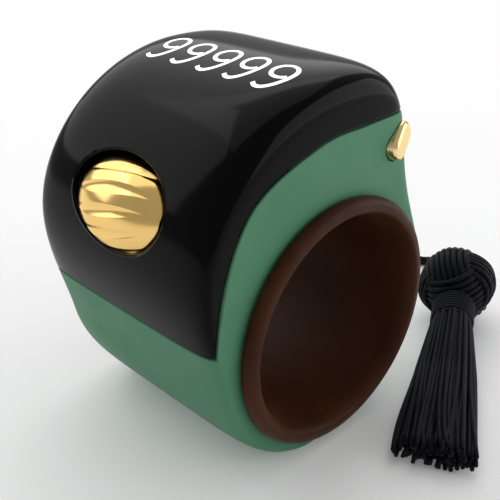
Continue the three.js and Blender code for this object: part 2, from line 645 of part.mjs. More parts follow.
function cradleSector(inner, outer, from, to) {
  const shape = new THREE.Shape();
  shape.absarc(BEAD_CENTRE.x, BEAD_CENTRE.z, outer, rad(from), rad(to), false);
  shape.absarc(BEAD_CENTRE.x, BEAD_CENTRE.z, inner, rad(to), rad(from), true);
  return shape;
}

function makeCradle() {
  let cradle = slab(cradleSector(cradleInner, cradleOuter, CRADLE_START, CRADLE_END), -cheekTo, cheekTo);
  const foot = box(CRADLE_FOOT_WIDTH, 2 * cheekFrom - 0.4, CRADLE_FOOT_HEIGHT,
    CRADLE_FOOT_X, 0, footBottom + CRADLE_FOOT_HEIGHT / 2);
  cradle = cradle.add(foot);
  for (const side of [-1, 1]) {
    const from = side < 0 ? -cheekTo : cheekFrom;
    const web = slab(cradleSector(0.3, cradleOuter, CRADLE_START, CRADLE_END), from, from + CHEEK_THICKNESS);
    const eye = rod(CRADLE_EYE_RADIUS, CHEEK_THICKNESS, AXIS_Y, nearBead(0, 0, from + CHEEK_THICKNESS / 2));
    cradle = cradle.add(web).add(eye);
  }
  const notch = new THREE.BoxGeometry(FAR, FAR, 2 * (AXLE_RADIUS + RUNNING_GAP)).translate(-FAR / 2, 0, 0);
  notch.rotateY(rad(WINDOW_TILT)).translate(BEAD_CENTRE.x, 0, BEAD_CENTRE.z);
  const past = new THREE.BoxGeometry(FAR, FAR, FAR).translate(-FAR / 2 - CRADLE_MOUTH, 0, 0);
  past.rotateY(rad(WINDOW_TILT)).translate(BEAD_CENTRE.x, 0, BEAD_CENTRE.z);
  cradle = cradle.subtract(solid(notch)).subtract(solid(past));
  cradle = cradle.subtract(rod(AXLE_RADIUS + RUNNING_GAP, FAR, AXIS_Y, BEAD_CENTRE));
  cradle = cradle.subtract(box(FAR, FAR, FAR, FAR / 2 - 8, 0, footBottom - FAR / 2));
  const springSlot = cradleSector(cradleInner - 1, cradleOuter + 1, ...SPRING_SLOT_ANGLES);
  cradle = cradle.subtract(slab(springSlot, -SPRING_WIDTH / 2 - RUNNING_GAP, SPRING_WIDTH / 2 + RUNNING_GAP));
  for (const post of CRADLE_SCREWS) {
    cradle = cradle.subtract(postAt(CRADLE_SCREW_RADIUS + SCREW_CLEARANCE, post.x, post.y, 0,
      post.seat + CRADLE_SCREW_LENGTH + 0.3, SMALL_SIDES));
  }
  return cradle;
}

// Flat strip that follows points in X and Z, as wide as given along Y.
function strip(points, thickness, width, y = 0) {
  const upper = [];
  const lower = [];
  points.forEach(([x, z], place) => {
    const [beforeX, beforeZ] = points[Math.max(0, place - 1)];
    const [afterX, afterZ] = points[Math.min(points.length - 1, place + 1)];
    const run = Math.hypot(afterX - beforeX, afterZ - beforeZ);
    const offX = (-(afterZ - beforeZ) / run) * (thickness / 2);
    const offZ = ((afterX - beforeX) / run) * (thickness / 2);
    upper.push([x + offX, z + offZ]);
    lower.unshift([x - offX, z - offZ]);
  });
  return slab(polygon([...upper, ...lower]), y - width / 2, y + width / 2);
}

function makeDetentSpring() {
  const nose = BEAD_RADIUS + SPRING_GAP + SPRING_THICKNESS / 2;
  const held = cradleOuter + SPRING_GAP + SPRING_THICKNESS / 2;
  const route = [[held, 29], [held, 35], [held, 41], [held - 0.35, 46], [nose + 0.45, 52],
    [nose, 58], [nose + 0.1, 62], [nose + 0.6, 67]];
  const points = route.map(([radius, degrees]) => nearBead(radius, degrees)).map((p) => [p.x, p.z]);
  return strip(points, SPRING_THICKNESS, SPRING_WIDTH);
}

function makeSensor() {
  const centre = nearBead(cradleOuter + RUNNING_GAP + SENSOR_SIZE[0] / 2, SENSOR_ANGLE, CRADLE_SCREW_Y);
  const geometry = new THREE.BoxGeometry(...SENSOR_SIZE).rotateY(-rad(SENSOR_ANGLE));
  return geometry.translate(centre.x, centre.y, centre.z);
}

const BOARD_TOP = BOARD_BOTTOM + BOARD_SIZE[2];
const BOARD_FRONT = BOARD_CENTRE_X - BOARD_SIZE[0] / 2;
const BOARD_REAR = BOARD_CENTRE_X + BOARD_SIZE[0] / 2;
const LEAD_LIFT = LEAD_THICKNESS / 2 + RUNNING_GAP / 2;

function makeSensorLead() {
  const outside = cradleOuter + SENSOR_SIZE[0] + 3 * RUNNING_GAP;
  const start = nearBead(outside, SENSOR_ANGLE + 8);
  const bend = nearBead(outside, SENSOR_ANGLE - 6);
  return strip([[start.x, start.z], [bend.x, bend.z], [BOARD_FRONT - 0.75, BOARD_BOTTOM + 0.15],
    [BOARD_FRONT - 0.4, BOARD_TOP], [BOARD_FRONT, BOARD_TOP + LEAD_LIFT + 0.05],
    [BOARD_FRONT + 0.4, BOARD_TOP + LEAD_LIFT]], LEAD_THICKNESS, SENSOR_LEAD_WIDTH, CRADLE_SCREW_Y);
}

const panelTilt = rad(PANEL_TILT);
const onPanel = (along, up) => [
  PANEL_CENTRE_X + along * Math.cos(panelTilt) - up * Math.sin(panelTilt),
  PANEL_TOP + along * Math.sin(panelTilt) + up * Math.cos(panelTilt),
];

function makePanel() {
  const half = PANEL_SIZE[0] / 2;
  const under = -PANEL_SIZE[2];
  const corners = [onPanel(-half, 0), onPanel(-half, under), onPanel(half, under), onPanel(half, 0)];
  return slab(polygon(corners), -PANEL_SIZE[1] / 2, PANEL_SIZE[1] / 2);
}

function makeHolder() {
  const half = PANEL_SIZE[0] / 2;
  const under = -PANEL_SIZE[2] - HOLDER_CLEARANCE;
  const low = BOARD_TOP + 2 * RUNNING_GAP + LEAD_THICKNESS;
  const wedge = polygon([[onPanel(-half, 0)[0], low], [onPanel(half, 0)[0], low], onPanel(half, under),
    onPanel(-half, under)]);
  const tray = slab(wedge, -PANEL_SIZE[1] / 2, PANEL_SIZE[1] / 2);
  return tray.subtract(box(half, PANEL_SIZE[1] * 0.6, FAR, PANEL_CENTRE_X, 0, low));
}

function makeDisplayLead() {
  const end = PANEL_SIZE[0] / 2;
  const start = onPanel(end + 0.2, -0.3);
  return strip([start, [start[0] + 0.35, start[1] - 0.5], [start[0] + 0.45, BOARD_TOP + 0.7],
    [start[0] + 0.2, BOARD_TOP + LEAD_LIFT + 0.12], [start[0] - 0.35, BOARD_TOP + LEAD_LIFT]],
  LEAD_THICKNESS, LEAD_WIDTH, 0);
}

function makeChargeLead() {
  const inner = PIN_PLACES[0].clone().addScaledVector(PIN_AXIS, -PIN_LENGTH - LEAD_THICKNESS / 2);
  return strip([[inner.x + PIN_AXIS.z, inner.z - PIN_AXIS.x], [inner.x - PIN_AXIS.z, inner.z + PIN_AXIS.x],
    [inner.x - 1, inner.z + 2.2],
    [BOARD_REAR + 1.2, BOARD_TOP + 0.35], [BOARD_REAR + 0.1, BOARD_TOP + LEAD_LIFT],
    [BOARD_REAR - 0.6, BOARD_TOP + LEAD_LIFT]], LEAD_THICKNESS, PIN_PITCH + 2 * CHARGE_LEAD_MARGIN, 0);
}

function makeButton() {
  const cap = pill(0, FLANGE_TOP - SLIGHT, BUTTON_PROUD - BUTTON_EDGE_HEIGHT);
  const crown = pill(-BUTTON_EDGE, BUTTON_PROUD - BUTTON_EDGE_HEIGHT - SLIGHT, BUTTON_PROUD);
  const flange = pill(BUTTON_FLANGE, FLANGE_BOTTOM, FLANGE_TOP);
  return cap.add(crown).add(flange);
}

function makePin(place) {
  const centre = place.clone().addScaledVector(PIN_AXIS, PIN_PROUD - PIN_LENGTH / 2);
  return rod(PIN_RADIUS, PIN_LENGTH, PIN_AXIS, centre);
}

function makeEyelet() {
  const seat = EYELET_SEAT + RUNNING_GAP;
  const flange = rod(EYELET_FLANGE_RADIUS, EYELET_FLANGE, EYELET_OUT, alongEyelet(seat + EYELET_FLANGE / 2));
  const tube = rod(eyeletOuter, seat - knotFloor, EYELET_OUT, alongEyelet((seat + knotFloor) / 2 + SLIGHT));
  const hole = rod(CORD_RADIUS + RUNNING_GAP, 12, EYELET_OUT, alongEyelet(FRAME_RADIUS));
  return flange.add(tube).subtract(hole);
}

function makeKnot() {
  const knot = new THREE.SphereGeometry(KNOT_RADIUS, ROUND_SIDES, 8);
  const centre = alongEyelet(knotFloor - KNOT_RADIUS - RUNNING_GAP);
  const tail = rod(CORD_RADIUS, EYELET_SEAT + EYELET_FLANGE - knotFloor + KNOT_RADIUS, EYELET_OUT,
    alongEyelet((EYELET_SEAT + EYELET_FLANGE + knotFloor - KNOT_RADIUS) / 2), SMALL_SIDES);
  return solid(knot.translate(centre.x, centre.y, centre.z)).add(tail)
    .subtract(rod(LINER_RADIUS + SLIGHT, FAR, AXIS_Y, new THREE.Vector3(), BORE_SIDES));
}

function makeCord() {
  const points = CORD_POINTS.map((point) => new THREE.Vector3(...point));
  const route = new THREE.CatmullRomCurve3(points, false, 'centripetal');
  const section = new THREE.Shape();
  section.absarc(0, 0, CORD_RADIUS, 0, 2 * Math.PI, false);
  const steps = Math.ceil(route.getLength() / (CORD_STEP_RATIO * CORD_RADIUS));
  return new THREE.ExtrudeGeometry(section, {
    steps, extrudePath: route, bevelEnabled: false, curveSegments: CORD_SIDES,
  });
}

// Tassel pieces lie along the heading, on the surface that the ring stands on.
const headCentre = new THREE.Vector3(HEAD_CENTRE[0], HEAD_CENTRE[1], HEAD_RADIUS - HOLE_HEIGHT);
const heading = new THREE.Vector3(Math.cos(rad(TASSEL_HEADING)), Math.sin(rad(TASSEL_HEADING)), 0);
const floorHeight = (radius) => radius - HOLE_HEIGHT;

// Lofted oval bar: rows of [distance from the head's centre, half width, half height, centre height].
function ovalBar(rows, sides = 16) {
  const across = new THREE.Vector3(-heading.y, heading.x, 0);
  const positions = [];
  const index = [];
  for (const [distance, width, height, lift] of rows) {
    for (let side = 0; side < sides; side += 1) {
      const angle = (2 * Math.PI * side) / sides;
      const point = new THREE.Vector3(headCentre.x, headCentre.y, lift)
        .addScaledVector(heading, distance)
        .addScaledVector(across, width * Math.cos(angle));
      positions.push(point.x, point.y, point.z + height * Math.sin(angle));
    }
  }
  for (let row = 0; row + 1 < rows.length; row += 1) {
    for (let side = 0; side < sides; side += 1) {
      const here = row * sides + side;
      const next = row * sides + ((side + 1) % sides);
      index.push(here, next, here + sides, next, next + sides, here + sides);
    }
  }
  const last = (rows.length - 1) * sides;
  for (let side = 1; side + 1 < sides; side += 1) {
    index.push(0, side + 1, side, last, last + side, last + side + 1);
  }
  return solidFrom(positions, index);
}

const neckFrom = HEAD_RADIUS + CORD_GAP - 0.6;
const neckTo = neckFrom + NECK_LENGTH;
const skirtFrom = neckTo + CORD_GAP;
const neckLift = floorHeight(NECK_RADIUS) + 1.1;

function makeHead() {
  const ball = solid(new THREE.SphereGeometry(HEAD_RADIUS, 24, 14)
    .translate(headCentre.x, headCentre.y, headCentre.z));
  const neckSide = new THREE.BoxGeometry(4, 20, 20).translate(neckFrom - CORD_GAP + 2, 0, 0);
  const cordEnd = new THREE.Vector3(...CORD_POINTS[CORD_POINTS.length - 1]);
  const toCord = cordEnd.clone().sub(headCentre).normalize();
  const reach = cordEnd.distanceTo(headCentre);
  const cordSide = rod(HEAD_RADIUS, 4, toCord,
    headCentre.clone().addScaledVector(toCord, reach + 2 - CORD_GAP));
  return ball.subtract(solid(neckSide.rotateZ(rad(TASSEL_HEADING))
    .translate(headCentre.x, headCentre.y, headCentre.z))).subtract(cordSide);
}

function makeNeck() {
  return ovalBar([
    [neckFrom, NECK_RADIUS, NECK_RADIUS, neckLift + 0.5],
    [neckTo, NECK_RADIUS, NECK_RADIUS, neckLift],
  ]);
}

function makeSkirt() {
  const middle = skirtFrom + SKIRT_LENGTH * 0.35;
  return ovalBar([
    [skirtFrom, NECK_RADIUS, NECK_RADIUS, neckLift],
    [middle, NECK_RADIUS * 1.35, NECK_RADIUS * 0.8, floorHeight(NECK_RADIUS * 0.8)],
    [skirtFrom + SKIRT_LENGTH, SKIRT_END_WIDTH, SKIRT_END_HEIGHT, floorHeight(SKIRT_END_HEIGHT)],
  ]);
}

const counter = new THREE.Group();
counter.position.z = HOLE_HEIGHT;

function addPiece(name, shape, material, parent = counter) {
  const geometry = shape.isBufferGeometry ? shape : geometryOf(shape);
  const mesh = new THREE.Mesh(geometry, material);
  mesh.name = name;
  parent.add(mesh);
  return mesh;
}

addPiece('top_shell', makeCap(), MATERIALS.blackGloss);
addPiece('ring_frame', makeFrame(), MATERIALS.green);
addPiece('finger_liner', makeLiner(), MATERIALS.brown);

const beadGroup = new THREE.Group();
beadGroup.position.copy(BEAD_CENTRE);
counter.add(beadGroup);
addPiece('count_bead', makeBead(), MATERIALS.gold, beadGroup);
const bushInner = AXLE_RADIUS + RUNNING_GAP;
const bushOuter = BEAD_BORE_RADIUS - RUNNING_GAP;
const beadEnd = BEAD_LENGTH / 2;
addPiece('bead_bush_left', sleeveRing(bushInner, bushOuter, beadEnd - BUSH_LENGTH, beadEnd),
  MATERIALS.steel, beadGroup);
addPiece('bead_bush_right', sleeveRing(bushInner, bushOuter, -beadEnd, BUSH_LENGTH - beadEnd),
  MATERIALS.steel, beadGroup);
addPiece('count_magnet', sleeveRing(bushInner + RUNNING_GAP, bushOuter, -MAGNET_LENGTH / 2, MAGNET_LENGTH / 2),
  MATERIALS.magnet, beadGroup);
addPiece('bead_axle', rod(AXLE_RADIUS, 2 * cheekTo, AXIS_Y, new THREE.Vector3(), 16),
  MATERIALS.steel, beadGroup);

addPiece('bead_cradle', makeCradle(), MATERIALS.grey);
addPiece('detent_spring', makeDetentSpring(), MATERIALS.steel);
addPiece('hall_sensor', makeSensor(), MATERIALS.chip);
addPiece('sensor_flex', makeSensorLead(), MATERIALS.lead);
CRADLE_SCREWS.forEach((post, place) => {
  addPiece(`cradle_screw_${place + 1}`,
    screw(CRADLE_SCREW_RADIUS, CRADLE_SCREW_LENGTH, post.x, post.y, post.seat), MATERIALS.steel);
});
CASE_SCREWS.forEach((post, place) => {
  addPiece(`case_screw_${place + 1}`,
    screw(CASE_SCREW_RADIUS, CASE_SCREW_LENGTH, post.x, post.y, post.seat), MATERIALS.steel);
});

addPiece('display_panel', makePanel(), MATERIALS.chip);
addPiece('display_holder', makeHolder(), MATERIALS.grey);
addPiece('display_flex', makeDisplayLead(), MATERIALS.lead);
addPiece('main_board', box(...BOARD_SIZE, BOARD_CENTRE_X, 0, BOARD_BOTTOM + BOARD_SIZE[2] / 2),
  MATERIALS.board);
addPiece('controller_chip', box(...CHIP_SIZE, BOARD_CENTRE_X, 0, BOARD_BOTTOM - CHIP_SIZE[2] / 2 - 0.05),
  MATERIALS.chip);
addPiece('battery', box(...BATTERY_SIZE, 0, 0, SHELF_TOP + SEAT_GAP + BATTERY_SIZE[2] / 2), MATERIALS.foil);

addPiece('side_button', makeButton(), MATERIALS.gold);
const domeCentre = BUTTON.centre.clone().addScaledVector(BUTTON_OUT, DOME_TOP - DOME_HEIGHT / 2 + 0.03);
addPiece('switch_dome', rod(DOME_RADIUS, DOME_HEIGHT - 0.06, BUTTON_OUT, domeCentre, SMALL_SIDES),
  MATERIALS.rubber);
addPiece('button_switch', buttonBox(SWITCH_SIZE, SWITCH_TOP), MATERIALS.steel);
PIN_PLACES.forEach((place, number) => {
  addPiece(`charge_contact_${number + 1}`, makePin(place), MATERIALS.gold);
});
addPiece('charge_flex', makeChargeLead(), MATERIALS.lead);

addPiece('cord_eyelet', makeEyelet(), MATERIALS.gold);
addPiece('cord_knot', makeKnot(), MATERIALS.thread);
addPiece('tassel_cord', makeCord(), MATERIALS.thread);
addPiece('tassel_head', makeHead(), MATERIALS.thread);
addPiece('tassel_neck', makeNeck(), MATERIALS.thread);
addPiece('tassel_skirt', makeSkirt(), MATERIALS.thread);

const part = new THREE.Group();
part.add(counter);
export default part;
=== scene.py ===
# %% [markdown]
# # A finger tally counter, dressed for its portrait
# The counter is a ring for one finger: a green frame, a glossy black cap with a lit count, a gold bead
# that the thumb rolls, and a black tassel on a short cord. The solids and their joints come from a
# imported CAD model. This notebook loads them and makes the fine surfaces and finishes around them.
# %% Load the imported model
import math

import bmesh
import bpy
import numpy as np
from mathutils import Matrix, Vector, geometry


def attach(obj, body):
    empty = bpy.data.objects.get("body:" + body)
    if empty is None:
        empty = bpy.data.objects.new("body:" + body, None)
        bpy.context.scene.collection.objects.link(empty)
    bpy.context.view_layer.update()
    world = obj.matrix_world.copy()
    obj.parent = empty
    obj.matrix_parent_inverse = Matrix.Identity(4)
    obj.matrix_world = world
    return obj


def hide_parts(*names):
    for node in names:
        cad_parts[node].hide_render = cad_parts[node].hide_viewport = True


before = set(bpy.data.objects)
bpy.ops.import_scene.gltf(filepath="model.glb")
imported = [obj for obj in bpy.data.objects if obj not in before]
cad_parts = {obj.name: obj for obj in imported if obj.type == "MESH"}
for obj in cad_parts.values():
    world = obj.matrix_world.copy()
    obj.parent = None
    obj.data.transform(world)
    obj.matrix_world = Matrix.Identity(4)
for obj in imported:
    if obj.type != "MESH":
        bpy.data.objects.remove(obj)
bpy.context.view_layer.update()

# %% [markdown]
# The drawing sizes of the counter are in millimetres, measured from the middle of the finger hole: X
# runs from the bead at the front to the cord at the back, Y along the finger, Z up. Blender works in
# metres above the surface that the ring stands on, so one helper turns a drawing point into a place.
# %% Millimetres on the drawing
MM = 0.001
HOLE_HEIGHT = 12.2


def place(x, y, z):
    return Vector((x, y, z + HOLE_HEIGHT)) * MM


def polar(radius, degrees):
    return Vector((radius * math.cos(math.radians(degrees)), radius * math.sin(math.radians(degrees))))


def smooth_step(value, low, high):
    share = min(1.0, max(0.0, (value - low) / (high - low)))
    return share * share * (3 - 2 * share)


# %% [markdown]
# The photograph looks down on the bead and the side of the ring from the front left. The camera's
# place, its lens and the point that it looks at come from fitting the drawing to the photograph.
# %% Camera
CAMERA_AZIMUTH = 44.28
CAMERA_ELEVATION = 27.18
CAMERA_DISTANCE = 78.87
CAMERA_TARGET = place(0.6, 0, 2.61)
LENS_LENGTH = 59.8
NEAREST_SEEN = 0.002
FARTHEST_SEEN = 10


def make_camera():
    azimuth = math.radians(CAMERA_AZIMUTH)
    elevation = math.radians(CAMERA_ELEVATION)
    back = Vector((-math.sin(azimuth) * math.cos(elevation), -math.cos(azimuth) * math.cos(elevation),
                   math.sin(elevation)))
    data = bpy.data.cameras.new("portrait_lens")
    data.lens = LENS_LENGTH
    data.clip_start = NEAREST_SEEN
    data.clip_end = FARTHEST_SEEN
    camera = bpy.data.objects.new("portrait_camera", data)
    camera.location = CAMERA_TARGET + back * CAMERA_DISTANCE * MM
    camera.rotation_euler = (-back).to_track_quat("-Z", "Y").to_euler()
    bpy.context.scene.collection.objects.link(camera)
    bpy.context.scene.camera = camera
    return camera


camera = make_camera()
print("camera at", [round(value, 4) for value in camera.location])

# %% [markdown]
# A finished piece is a mesh whose object stays at the origin, with its place in its vertices. One helper
# links it, shades it smooth, lets it ride on its body of the mechanism, gives it its material and hides
# the plain CAD solids that it stands for.
# %% Hand a mesh over as a piece
def hand_over(name, mesh, material, body, slot, *nodes):
    piece = bpy.data.objects.new(name, mesh)
    bpy.context.scene.collection.objects.link(piece)
    piece.data.materials.append(material)
    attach(piece, body)
    if nodes:
        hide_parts(*nodes)
    return piece


def hand_over_bmesh(name, bm, sharp, material, body, slot, *nodes):
    return hand_over(name, mesh_from(bm, f"{name}_mesh", sharp), material, body, slot, *nodes)


def mesh_from(bm, name, sharp=None):
    mesh = bpy.data.meshes.new(name)
    bm.to_mesh(mesh)
    bm.free()
    mesh.shade_smooth()
    if sharp is not None:
        mesh.set_sharp_from_angle(angle=math.radians(sharp))
    print(name, len(mesh.vertices), "vertices", len(mesh.polygons), "faces")
    return mesh


# %% [markdown]
# Materials are built from nodes. A helper starts one with its colour, roughness and metal share on the
# shader's own sockets, and two more add what every real surface has: a fine bump, and a slow drift of
# roughness or colour. All of them read Object coordinates, in metres, so a scale of 1000 is a
# millimetre.
# %% Material helpers
def new_finish(name, color, roughness, metallic=0.0):
    material = bpy.data.materials.new(name)
    material.use_nodes = True
    shader = material.node_tree.nodes["Principled BSDF"]
    shader.inputs["Base Color"].default_value = (*color, 1)
    shader.inputs["Roughness"].default_value = roughness
    shader.inputs["Metallic"].default_value = metallic
    return material


def shader_of(material):
    return material.node_tree.nodes["Principled BSDF"]


def add_noise(material, scale, detail, stretch=(1, 1, 1)):
    nodes, links = material.node_tree.nodes, material.node_tree.links
    source = nodes.new("ShaderNodeTexCoord")
    mapping = nodes.new("ShaderNodeMapping")
    mapping.inputs["Scale"].default_value = stretch
    grain = nodes.new("ShaderNodeTexNoise")
    grain.inputs["Scale"].default_value = scale
    grain.inputs["Detail"].default_value = detail
    links.new(source.outputs["Object"], mapping.inputs["Vector"])
    links.new(mapping.outputs["Vector"], grain.inputs["Vector"])
    return grain.outputs["Fac"]


def add_bump(material, height, distance, strength):
    nodes, links = material.node_tree.nodes, material.node_tree.links
    bump = nodes.new("ShaderNodeBump")
    bump.inputs["Distance"].default_value = distance
    bump.inputs["Strength"].default_value = strength
    shader = shader_of(material)
    if shader.inputs["Normal"].links:
        links.new(shader.inputs["Normal"].links[0].from_socket, bump.inputs["Normal"])
    links.new(height, bump.inputs["Height"])
    links.new(bump.outputs["Normal"], shader.inputs["Normal"])


def vary_roughness(material, pattern, low, high, darkest=0.3, lightest=0.7):
    nodes, links = material.node_tree.nodes, material.node_tree.links
    spread = nodes.new("ShaderNodeMapRange")
    spread.inputs["From Min"].default_value = darkest
    spread.inputs["From Max"].default_value = lightest
    spread.inputs["To Min"].default_value = low
    spread.inputs["To Max"].default_value = high
    links.new(pattern, spread.inputs["Value"])
    links.new(spread.outputs["Result"], shader_of(material).inputs["Roughness"])


def vary_color(material, pattern, dark, light, low=0.35, high=0.65):
    nodes, links = material.node_tree.nodes, material.node_tree.links
    ramp = nodes.new("ShaderNodeValToRGB")
    ramp.color_ramp.elements[0].position = low
    ramp.color_ramp.elements[0].color = (*dark, 1)
    ramp.color_ramp.elements[1].position = high
    ramp.color_ramp.elements[1].color = (*light, 1)
    links.new(pattern, ramp.inputs["Fac"])
    links.new(ramp.outputs["Color"], shader_of(material).inputs["Base Color"])


# %% [markdown]
# Holes for the button, the pins and the eyelet are bored after the skin is made. Each drill is a closed
# mesh on a helper object, and Blender's Boolean modifier takes it away. The result is read back as a
# mesh, so no modifier stays on the piece.
# %% Bore holes
def bored(mesh, drills):
    piece = bpy.data.objects.new("bored", mesh)
    bpy.context.scene.collection.objects.link(piece)
    helpers = []
    for number, drill in enumerate(drills):
        helper = bpy.data.objects.new(f"drill_{number}", mesh_from(drill, f"drill_{number}_mesh"))
        bpy.context.scene.collection.objects.link(helper)
        cut = piece.modifiers.new(f"hole_{number}", "BOOLEAN")
        cut.operation = "DIFFERENCE"
        cut.solver = "EXACT"
        cut.object = helper
        helpers.append(helper)
    graph = bpy.context.evaluated_depsgraph_get()
    graph.update()
    result = bpy.data.meshes.new_from_object(piece.evaluated_get(graph))
    result.name = mesh.name
    print(mesh.name, "bored", len(drills), "times:", len(result.polygons), "faces")
    for helper in [*helpers, piece]:
        bpy.data.objects.remove(helper)
    return result


def rod_between(start, end, radius, sides=48):
    """A plain closed rod between two places, for a drill."""
    bm = bmesh.new()
    way = end - start
    turn = way.to_track_quat("Z", "Y").to_matrix().to_4x4()
    bmesh.ops.create_cone(bm, cap_ends=True, segments=sides, radius1=radius * MM, radius2=radius * MM,
                          depth=way.length, matrix=Matrix.Translation((start + end) / 2) @ turn)
    return bm


# %% [markdown]
# The cord runs straight out of its eyelet, drops to the surface, makes one loose curve and comes round
# to the tassel's head. A cord could be a curve with a round bevel, but this one is a twist of three
# plies, so it is a tube: a grid is rolled round the route and its radius follows the plies. Its black
# thread drinks nearly all light. What is left is a little sheen and a bump as fine as its fibres.
# %% Cord route
CORD_RADIUS = 0.6
CORD_ROUTE = [
    (12.78, 0, -5.96), (15.2, 0, -7.1), (16.6, 0.1, -7.95), (17.8, 0.4, -9.1), (19, 0.9, -10.4),
    (20.6, 1.6, -11.3), (22.6, 2.5, -11.6), (25, 3.5, -11.6), (27.6, 4.1, -11.6), (30.2, 4, -11.6),
    (32.4, 3.4, -11.6), (34, 1.9, -11.6), (34.4, 0.1, -11.5), (33.8, -1.8, -11.1), (32.4, -3.4, -10.2),
    (30.7, -4.65, -9.49), (29.3, -5.54, -9.02),
]
CORD_STEPS = 260
STEPS_BETWEEN = 17
CURVE_PULL = 1 / 6


def smooth_line(points, steps):
    """A smooth curve through the given points, with some steps between each two."""
    padded = [points[0] * 2 - points[1], *points, points[-1] * 2 - points[-2]]
    fine = []
    for before, start, end, after in zip(padded, padded[1:], padded[2:], padded[3:]):
        fine += geometry.interpolate_bezier(start, start + (end - before) * CURVE_PULL,
                                            end - (after - start) * CURVE_PULL, end, steps)[:-1]
    return fine + [points[-1]]


def smooth_route(points, steps):
    """Evenly spaced points on a smooth curve through the given ones."""
    fine = smooth_line([place(*point) for point in points], STEPS_BETWEEN)
    gaps = [0.0] + [(b - a).length for a, b in zip(fine, fine[1:])]
    along = np.cumsum(gaps)
    wanted = np.linspace(0, along[-1], steps + 1)
    columns = [np.interp(wanted, along, [point[axis] for point in fine]) for axis in range(3)]
    return [Vector(point) for point in zip(*columns)], float(along[-1])


cord_line, cord_length = smooth_route(CORD_ROUTE, CORD_STEPS)
print("cord length", round(cord_length, 4))


# %% Roll a grid round a line
def rolled_tube(line, sides, radius_at):
    """A closed tube along the line. radius_at gives its radius for a share along and a turn round it.

    Its UV map runs round it and along it, so that a pattern can be laid on later.
    """
    bm = bmesh.new()
    bm.loops.layers.uv.new("UVMap")
    rings = len(line) - 1
    bmesh.ops.create_grid(bm, x_segments=sides, y_segments=rings, size=0.5, calc_uvs=True)
    ahead = [(line[min(rings, k + 1)] - line[max(0, k - 1)]).normalized() for k in range(rings + 1)]
    side = ahead[0].orthogonal().normalized()
    frames = []
    for direction in ahead:
        side = (side - direction * side.dot(direction)).normalized()
        frames.append((side, direction.cross(side)))
    for vert in bm.verts:
        ring = round((vert.co.y + 0.5) * rings)
        turn = (vert.co.x + 0.5) * 2 * math.pi
        right, up = frames[ring]
        radius = radius_at(ring / rings, turn)
        vert.co = line[ring] + (right * math.cos(turn) + up * math.sin(turn)) * radius
    bmesh.ops.remove_doubles(bm, verts=bm.verts[:], dist=1e-7)
    ends = [edge for edge in bm.edges if edge.is_boundary]
    bmesh.ops.holes_fill(bm, edges=ends, sides=0)
    bmesh.ops.recalc_face_normals(bm, faces=bm.faces[:])
    return bm


# %% Cord piece
CORD_PLIES = 3
CORD_TURNS = 15
CORD_SIDES = 30
PLY_DEPTH = 0.1


def cord_radius(share, turn):
    ply = math.cos(CORD_PLIES * (turn - 2 * math.pi * CORD_TURNS * share / CORD_PLIES))
    return CORD_RADIUS * MM * (1 - PLY_DEPTH + PLY_DEPTH * ply)


def make_thread_finish():
    """Black thread: dull, with fibres in its colour and its bump, and a faint cool sheen."""
    material = new_finish("black_thread_finish", (0.012, 0.012, 0.018), 0.55)
    shader = shader_of(material)
    shader.inputs["Specular IOR Level"].default_value = 0.12
    shader.inputs["Sheen Weight"].default_value = 0.04
    shader.inputs["Sheen Roughness"].default_value = 0.35
    shader.inputs["Sheen Tint"].default_value = (0.55, 0.6, 0.8, 1)
    fibre = add_noise(material, scale=6000, detail=4)
    vary_color(material, fibre, (0.002, 0.002, 0.003), (0.009, 0.009, 0.013))
    add_bump(material, fibre, distance=0.00006, strength=0.8)
    return material


thread_finish = make_thread_finish()
cord_mesh = mesh_from(rolled_tube(cord_line, CORD_SIDES, cord_radius), "tassel_cord_mesh")
cord = hand_over("twisted_cord", cord_mesh, thread_finish, "case", "black_thread", "tassel_cord")

# %% [markdown]
# The outside of the counter is one smooth skin: for each turn round the finger hole it has a radius on
# the middle line, and it falls away over a soft shoulder to a flat side. The crown of that skin is drawn
# with an arc and four curves, as a draughtsman would.
# %% Crown outline
RING_RADIUS = 13.3
HALF_WIDTH = 11.1
CAP_HEIGHT = 21.9
CAP_FRONT = 15.1
CAP_FRONT_HEIGHT = 7.5
CAP_REAR = 9.3
CAP_REAR_HEIGHT = 15.4
CROWN_PEAK_X = 0.5
RING_FROM = 192
RING_TO = 372
REAR_FOOT_PULL = Vector((-1.2, 2.7))
REAR_DROP_PULL = Vector((0.7, -4.9))
REAR_RISE_PULL = Vector((-1, 5))
PEAK_REAR_PULL = Vector((6.5, 0))
PEAK_FRONT_PULL = Vector((-9.9, 0))
FRONT_RISE_PULL = Vector((0, 6.9))
FRONT_DROP_PULL = Vector((0, -3.5))
FRONT_FOOT_PULL = Vector((-0.75, 3.5))
CROWN_CURVE_STEPS = 160


def crown_outline():
    rear_foot = polar(RING_RADIUS, RING_TO)
    front_foot = polar(RING_RADIUS, RING_FROM)
    rear = Vector((CAP_REAR, CAP_REAR_HEIGHT))
    peak = Vector((CROWN_PEAK_X, CAP_HEIGHT))
    front = Vector((-CAP_FRONT, CAP_FRONT_HEIGHT))
    curves = [
        (rear_foot, rear_foot + REAR_FOOT_PULL, rear + REAR_DROP_PULL, rear),
        (rear, rear + REAR_RISE_PULL, peak + PEAK_REAR_PULL, peak),
        (peak, peak + PEAK_FRONT_PULL, front + FRONT_RISE_PULL, front),
        (front, front + FRONT_DROP_PULL, front_foot + FRONT_FOOT_PULL, front_foot),
    ]
    points = [polar(RING_RADIUS, angle) for angle in range(RING_FROM, RING_TO)]
    for curve in curves:
        points += geometry.interpolate_bezier(*curve, CROWN_CURVE_STEPS)[:-1]
    return points


crown = crown_outline()
crown_turn = np.degrees([math.atan2(point.y, point.x) for point in crown]) % 360
crown_order = np.argsort(crown_turn)
crown_turn = crown_turn[crown_order]
crown_radius = np.array([point.length for point in crown])[crown_order]
print("crown reaches", round(max(point.y for point in crown), 2), "mm above the finger's middle")

